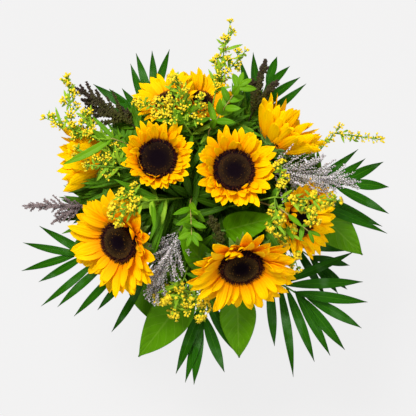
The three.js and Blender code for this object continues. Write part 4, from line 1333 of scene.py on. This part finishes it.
def bare_cells():
    """The cells within full reach that still show the floor."""
    reach = round(1.15 * FULL_REACH / CELL)
    span = range(-reach, reach + 1)
    column, row = round(AXIS.x / CELL), round(AXIS.y / CELL)
    cells = [(column + across, row + up) for across in span for up in span
             if within_reach(Vector((across, up)) * CELL)]
    return [cell for cell in cells if cell not in covered_cells]


def leaf_places(root, out, length, width):
    """Places on a leaf: three abreast at each of several shares of its length."""
    aside = out.cross(UP).normalized() * (width * 0.28)
    return [root + out * (length * share) + aside * hand for share in (0.15, 0.3, 0.45, 0.6, 0.75, 0.9)
            for hand in ((-1, 0, 1) if share < 0.7 else (0, 0, 0))]


def ways_to_bare_cells(root, bare, draw):
    """Ways from a leaf's root to places that hide some of the bare cells, at about the root's height."""
    cells = draw.sample(bare, min(len(bare), CELLS_A_TRY))
    places = [Vector((column * CELL, row * CELL, NET_LEVEL)) for column, row in cells]
    return [in_line(place, root.z + draw.uniform(-5, 22) * MM) - root for place in places]


def grow_stalk_leaves(piece, way, kind, draw):
    """Slender leaves down the stalk. Of many tried, each is the one that hides most of the floor that
    still shows. None of them runs into a bloom or over a broad leaf."""
    leaf_length, leaf_width = kind["leaf"]
    for k in range(kind["leaves"]):
        bare = bare_cells()
        best = None
        for trial in range(TRIES):
            down = kind["reach"] * MM * draw.random() ** (1.5 if trial % 2 else 0.8)
            root, about = place_down(way, down)
            out = leaning(about, math.radians(draw.uniform(42, 92)), draw.uniform(0, 2 * math.pi))
            longest = leaf_length * min(2.1, 0.7 + down / LONGER_BY) * MM
            length = min(longest, leaf_length * draw.uniform(0.6, 1.4) * MM)
            if bare and trial % 5:  # a fifth of the tries run anywhere
                aims = [aim for aim in ways_to_bare_cells(root, bare, draw) if aim.length < longest]
                if not aims:
                    continue
                aim = draw.choice(aims)
                out = aim.normalized()
                length = min(longest, max(aim.length * draw.uniform(1.05, 1.35), leaf_length * 0.6 * MM))
            width = leaf_width * draw.uniform(0.7, 1.1) * MM * min(1.15, 0.7 + down / BROADER_BY)
            places = leaf_places(root, out, length, width)
            if any(in_a_bloom(place) or over_a_leaf(place) for place in places[1::3]):
                continue
            score = gain(places)
            if best is None or score > best[0]:
                best = (score, root, out, length, width, places, down)
        if best and (best[0] > 0 or k % 4 == 0):
            _, root, out, length, width, places, down = best
            young = down < YOUNG_DOWN_TO and draw.random() < 0.3
            # painted shade: the deeper down the stalk, the lower the tone and the darker the leaf
            tone = draw.random() - down / PAINTED_SHADE_BY
            scale = 0.8 if young else 1.0
            size = (length / MM * scale, width / MM * scale)
            slender_leaf(piece, root, out, size, draw, YOUNG if young else SLENDER, (-22, 4), 0.4, tone)
            for place in places:
                cover(place)


GROWERS = {"goldenrod": grow_goldenrod, "statice": grow_statice, "heather": grow_heather,
           "leafy_sprig": grow_leafy_sprig}


def grow_spray(kind_name, number, places, paints):
    draw = random.Random(f"{kind_name} {number}")
    kind = KINDS[kind_name]
    name = f"{kind_name}_{number}"
    foot, tip, *sides = places
    arc = Arc(spot(*foot), spot(*tip))
    rings, _ = stalk_rings(name, 4)
    way = smooth_line([*rings, arc.foot], 4)
    no_pairs = kind_name == "leafy_sprig" and not SPRIGS[number - 1][0]
    shares = (0.04,) if no_pairs else (0.2, 0.4, 0.6, 0.8, 1)  # a long leaf stands on its stalk's end
    line = way + [arc.at(share) for share in shares]
    piece = Growth()
    piece.stalk(line, narrowing(kind["stalk"] * MM, 0.5 * MM, 2, len(line)), 7, STALKS)
    GROWERS[kind_name](piece, arc, draw, number)
    for side_tip, share in sides:
        branch = Arc(arc.at(share), spot(*side_tip), 0.1)
        piece.stalk([branch.at(share) for share in (0, 0.25, 0.5, 0.75, 1)],
                    [radius * MM for radius in (0.95, 0.85, 0.75, 0.65, 0.5)], 5, STALKS)
        GROWERS[kind_name](piece, branch, draw, number)
    grow_stalk_leaves(piece, way + [arc.at(0.12)], kind, draw)
    piece.finish(f"spray_{name}", [name], kind["slot"], paints)


# ---- twine --------------------------------------------------------------------------------------


def tied_stems():
    """Where each stem passes the foot and the top of the tie, and its radius."""
    names = [f"bloom_{letter}_stem" for letter in BLOOMS]
    for kind, members in {"palm": PALMS, "broad_leaf": LEAVES, **SPRAYS}.items():
        names += [f"{kind}_{k + 1}" for k in range(len(members))]
    stems = []
    for name in names:
        rings, radii = stalk_rings(name, 3)
        line = smooth_line(rings, 60)
        foot, top = (min(line, key=lambda place: abs(place.z - height)) for height in (tie_low.z, tie_high.z))
        stems.append((foot, top, radii[0]))
    return stems


def grow_tie(settings, paint):
    """Turns of three-ply twine pulled tight round the stems, and a small closed knot in front of them."""
    piece = Growth()
    thick = TIE_BAND / settings.turns / 2  # the twine's radius
    stems = tied_stems()

    def tight(angle, height):
        """Where the twine touches the outermost stem on one side."""
        out = Vector((math.cos(angle), math.sin(angle), 0))
        share = (height - tie_low.z) / TIE_BAND
        touches = [foot.lerp(top, share) + out * (radius + thick) for foot, top, radius in stems]
        place = max(touches, key=lambda touch: touch.dot(out))
        return Vector((place.x, place.y, height))

    directions = 48
    longest, step, shortest = 1.6 * MM, 1.5 * MM, 0.8 * MM  # between two points of the twine
    turns = []
    for k in range(settings.turns * directions + 1):
        height = tie_low.z + thick + (TIE_BAND - 2 * thick) * k / (settings.turns * directions)
        place = tight(2 * math.pi * k / directions, height)
        while turns and (place - turns[-1]).length > longest:
            turns.append(turns[-1] + (place - turns[-1]).normalized() * step)
        if not turns or (place - turns[-1]).length > shortest:
            turns.append(place)
    piece.stalk(turns, [thick * 1.08] * len(turns), 9, lobes=3, lay=0.35)
    size, points = 1.55 * MM, 72
    front = tight(-math.pi / 2, TIE_HEIGHT) - Vector((0, thick + 1.2 * MM, 0))
    knot = []
    for k in range(points + 1):
        t = 2 * math.pi * k / points
        knot.append(front + Vector((math.sin(t) + 2 * math.sin(2 * t), 0.9 * math.sin(3 * t),
                                    math.cos(t) - 2 * math.cos(2 * t))) * size)
    piece.stalk(knot, [thick * 0.85] * len(knot), 9, lobes=3, lay=0.5)
    piece.finish("twine", ["tie"], "twine", [paint])


# ---- operators ----------------------------------------------------------------------------------


def settings_of(context, name):
    return getattr(context.scene, name)


class BUNCH_OT_petals(Operator):
    """Grow the petals of every sunflower in three unruly layers"""

    bl_idname = "bunch.petals"
    bl_label = "Petals"

    def execute(self, context):
        settings = settings_of(context, "bunch_petals")
        paint = petal_paint(settings)
        for bloom in blooms():
            grow_petals(bloom, settings, paint)
        return {"FINISHED"}


class BUNCH_OT_discs(Operator):
    """Set the florets of every disc in their spiral net"""

    bl_idname = "bunch.discs"
    bl_label = "Discs"

    def execute(self, context):
        settings = settings_of(context, "bunch_discs")
        paint = disc_paint(settings)
        for bloom in blooms():
            grow_disc(bloom, settings, paint)
        return {"FINISHED"}


class BUNCH_OT_stems(Operator):
    """Grow the sunflowers' hairy stems with their cups and bracts"""

    bl_idname = "bunch.stems"
    bl_label = "Stems"

    def execute(self, context):
        settings = settings_of(context, "bunch_stems")
        paint = stem_paint(settings)
        for bloom in blooms():
            grow_bloom_stem(bloom, settings, paint)
        return {"FINISHED"}


class BUNCH_OT_palms(Operator):
    """Grow the palm fronds"""

    bl_idname = "bunch.palms"
    bl_label = "Palm Fronds"

    def execute(self, context):
        settings = settings_of(context, "bunch_greenery")
        paints = [palm_paint(settings), twig_paint("palm_rib", (0.07, 0.2, 0.02), (0.1, 0.24, 0.03))]
        for number, palm in enumerate(PALMS, 1):
            grow_frond(number, palm, settings, paints)
        return {"FINISHED"}


class BUNCH_OT_leaves(Operator):
    """Grow the broad leaves"""

    bl_idname = "bunch.leaves"
    bl_label = "Broad Leaves"

    def execute(self, context):
        settings = settings_of(context, "bunch_greenery")
        paints = [vein_paint("broad_leaf", settings.broad, 7.0, 1.7, 0.42, 0.34, 1.0),
                  twig_paint("leaf_stalk", (0.12, 0.3, 0.03), (0.1, 0.22, 0.03))]
        for number, leaf in enumerate(LEAVES, 1):
            grow_broad_leaf(number, leaf, settings, paints)
        return {"FINISHED"}


class BUNCH_OT_sprays(Operator):
    """Grow goldenrod, statice, heather and leafy sprigs"""

    bl_idname = "bunch.sprays"
    bl_label = "Sprays"

    def execute(self, context):
        colours = settings_of(context, "bunch_sprays")
        greens = settings_of(context, "bunch_greenery")
        leaves = [vein_paint("lance_leaf", greens.lance, 9.0, 2.0, 0.5, 0.5, 0.15),
                  vein_paint("young_leaf", greens.young, 5.0, 2.0, 0.5, 0.3, 0.15)]
        # The grey statice's paints are painted shade: darker, greyer statice colours.
        shaded_statice = [bud_paint("shaded_statice_bud", toned(colours.shaded_statice, 0.4), colours.shaded_statice, 0.8),
               twig_paint("shaded_statice_twig", toned(colours.shaded_statice, 0.6), (0.07, 0.1, 0.03))]
        paints = {
            "goldenrod": [bud_paint("goldenrod_bud", toned(colours.twig, 1.8), colours.bud, ripe=0.3),
                          twig_paint("goldenrod_twig", toned(colours.twig, 1.2), toned(colours.twig, 0.7))],
            "statice": [bud_paint("statice_floret", (0.24, 0.24, 0.17), colours.lilac, 0.8),
                        twig_paint("statice_twig", (0.18, 0.22, 0.08), (0.06, 0.13, 0.02))],
            "heather": [bud_paint("heather_bud", colours.olive, colours.dusk, 0.75, 0.8),
                        twig_paint("heather_twig", (0.06, 0.04, 0.02), (0.07, 0.1, 0.03))],
            "leafy_sprig": [vein_paint("sprig_leaf", toned(greens.lance, 1.2), 6.0, 1.4, 0.45, 0.6, 0.2),
                            twig_paint("sprig_twig", (0.42, 0.38, 0.1), (0.3, 0.07, 0.03))],
        }
        cover_blooms_and_broad_leaves()
        for kind_name, places in SPRAYS.items():
            for number, spray in enumerate(places, 1):
                grey = kind_name == "statice" and number == GREY_STATICE
                grow_spray(kind_name, number, spray, (shaded_statice if grey else paints[kind_name]) + leaves)
        return {"FINISHED"}


class BUNCH_OT_tie(Operator):
    """Wind the twine round the stems"""

    bl_idname = "bunch.tie"
    bl_label = "Twine"

    def execute(self, context):
        settings = settings_of(context, "bunch_tie")
        grow_tie(settings, twine_paint(settings))
        return {"FINISHED"}


# Soft lights: name, place and size in metres, and share of the key light's power. Both face one spot.
LAMPS = [("key", (-0.55, 0.95, 2.3), 0.7, 1.0), ("fill", (0.9, -1.1, 2.0), 1.6, 0.24)]
LIT_SPOT = Vector((0, 0, 0.35))


class BUNCH_OT_stage(Operator):
    """Set the pale floor, the soft lights and the camera above the bunch"""

    bl_idname = "bunch.stage"
    bl_label = "Stage"

    def execute(self, context):
        settings = settings_of(context, "bunch_stage")
        scene = context.scene
        bm = bmesh.new()
        bmesh.ops.create_grid(bm, x_segments=8, y_segments=8, size=6)  # out to 6 metres on each side
        mesh = bpy.data.meshes.new("floor")
        bm.to_mesh(mesh)
        bm.free()
        floor = bpy.data.objects.new("floor", mesh)
        mesh.materials.append(floor_paint(settings))
        scene.collection.objects.link(floor)

        world = bpy.data.worlds.new("sky")
        world.use_nodes = True
        sky = world.node_tree.nodes["Background"]
        sky.inputs["Color"].default_value = (0.97, 0.985, 1.0, 1.0)
        sky.inputs["Strength"].default_value = settings.sky
        scene.world = world
        for name, place, size, share in LAMPS:
            light = bpy.data.lights.new(name, "AREA")
            light.shape = "DISK"
            light.size = size
            light.energy = settings.key * share
            lamp = bpy.data.objects.new(name, light)
            lamp.location = place
            lamp.rotation_mode = "QUATERNION"
            lamp.rotation_quaternion = (Vector(place) - LIT_SPOT).to_track_quat("Z", "Y")
            scene.collection.objects.link(lamp)

        camera = bpy.data.cameras.new("camera")
        camera.sensor_width = 36
        camera.angle = 2 * math.atan(PHOTO_WIDTH / 2 * PIXEL_AT_FLOOR / CAMERA_SPOT[2])
        camera.clip_start, camera.clip_end = 0.05, 50
        viewer = bpy.data.objects.new("camera", camera)
        viewer.location = spot(*CAMERA_SPOT)
        scene.collection.objects.link(viewer)
        scene.camera = viewer
        scene.view_settings.view_transform = "Standard"
        return {"FINISHED"}


class BUNCH_PT_panel(Panel):
    """Lists the pieces of the bunch and their settings"""

    bl_label = "Bunch of Sunflowers"
    bl_idname = "BUNCH_PT_panel"
    bl_space_type = "VIEW_3D"
    bl_region_type = "UI"
    bl_category = "Bunch"

    def draw(self, context):
        for operator in OPERATORS:
            self.layout.operator(operator.bl_idname)
        for name, group in SETTINGS.items():
            box = self.layout.box()
            box.label(text=group.__doc__)
            for key in group.__annotations__:
                box.prop(settings_of(context, name), key)


OPERATORS = [BUNCH_OT_stage, BUNCH_OT_stems, BUNCH_OT_petals, BUNCH_OT_discs, BUNCH_OT_palms, BUNCH_OT_leaves,
             BUNCH_OT_sprays, BUNCH_OT_tie]


def register():
    for cls in (*SETTINGS.values(), *OPERATORS, BUNCH_PT_panel):
        bpy.utils.register_class(cls)
    for name, group in SETTINGS.items():
        setattr(bpy.types.Scene, name, PointerProperty(type=group))


def unregister():
    for name in SETTINGS:
        delattr(bpy.types.Scene, name)
    for cls in (BUNCH_PT_panel, *reversed(OPERATORS), *SETTINGS.values()):
        bpy.utils.unregister_class(cls)


def main():
    register()
    for operator in OPERATORS:
        group, name = operator.bl_idname.split(".")
        getattr(getattr(bpy.ops, group), name)()
    for mesh in parts.values():
        bpy.data.meshes.remove(mesh)
    parts.clear()


if __name__ == "__main__":
    main()
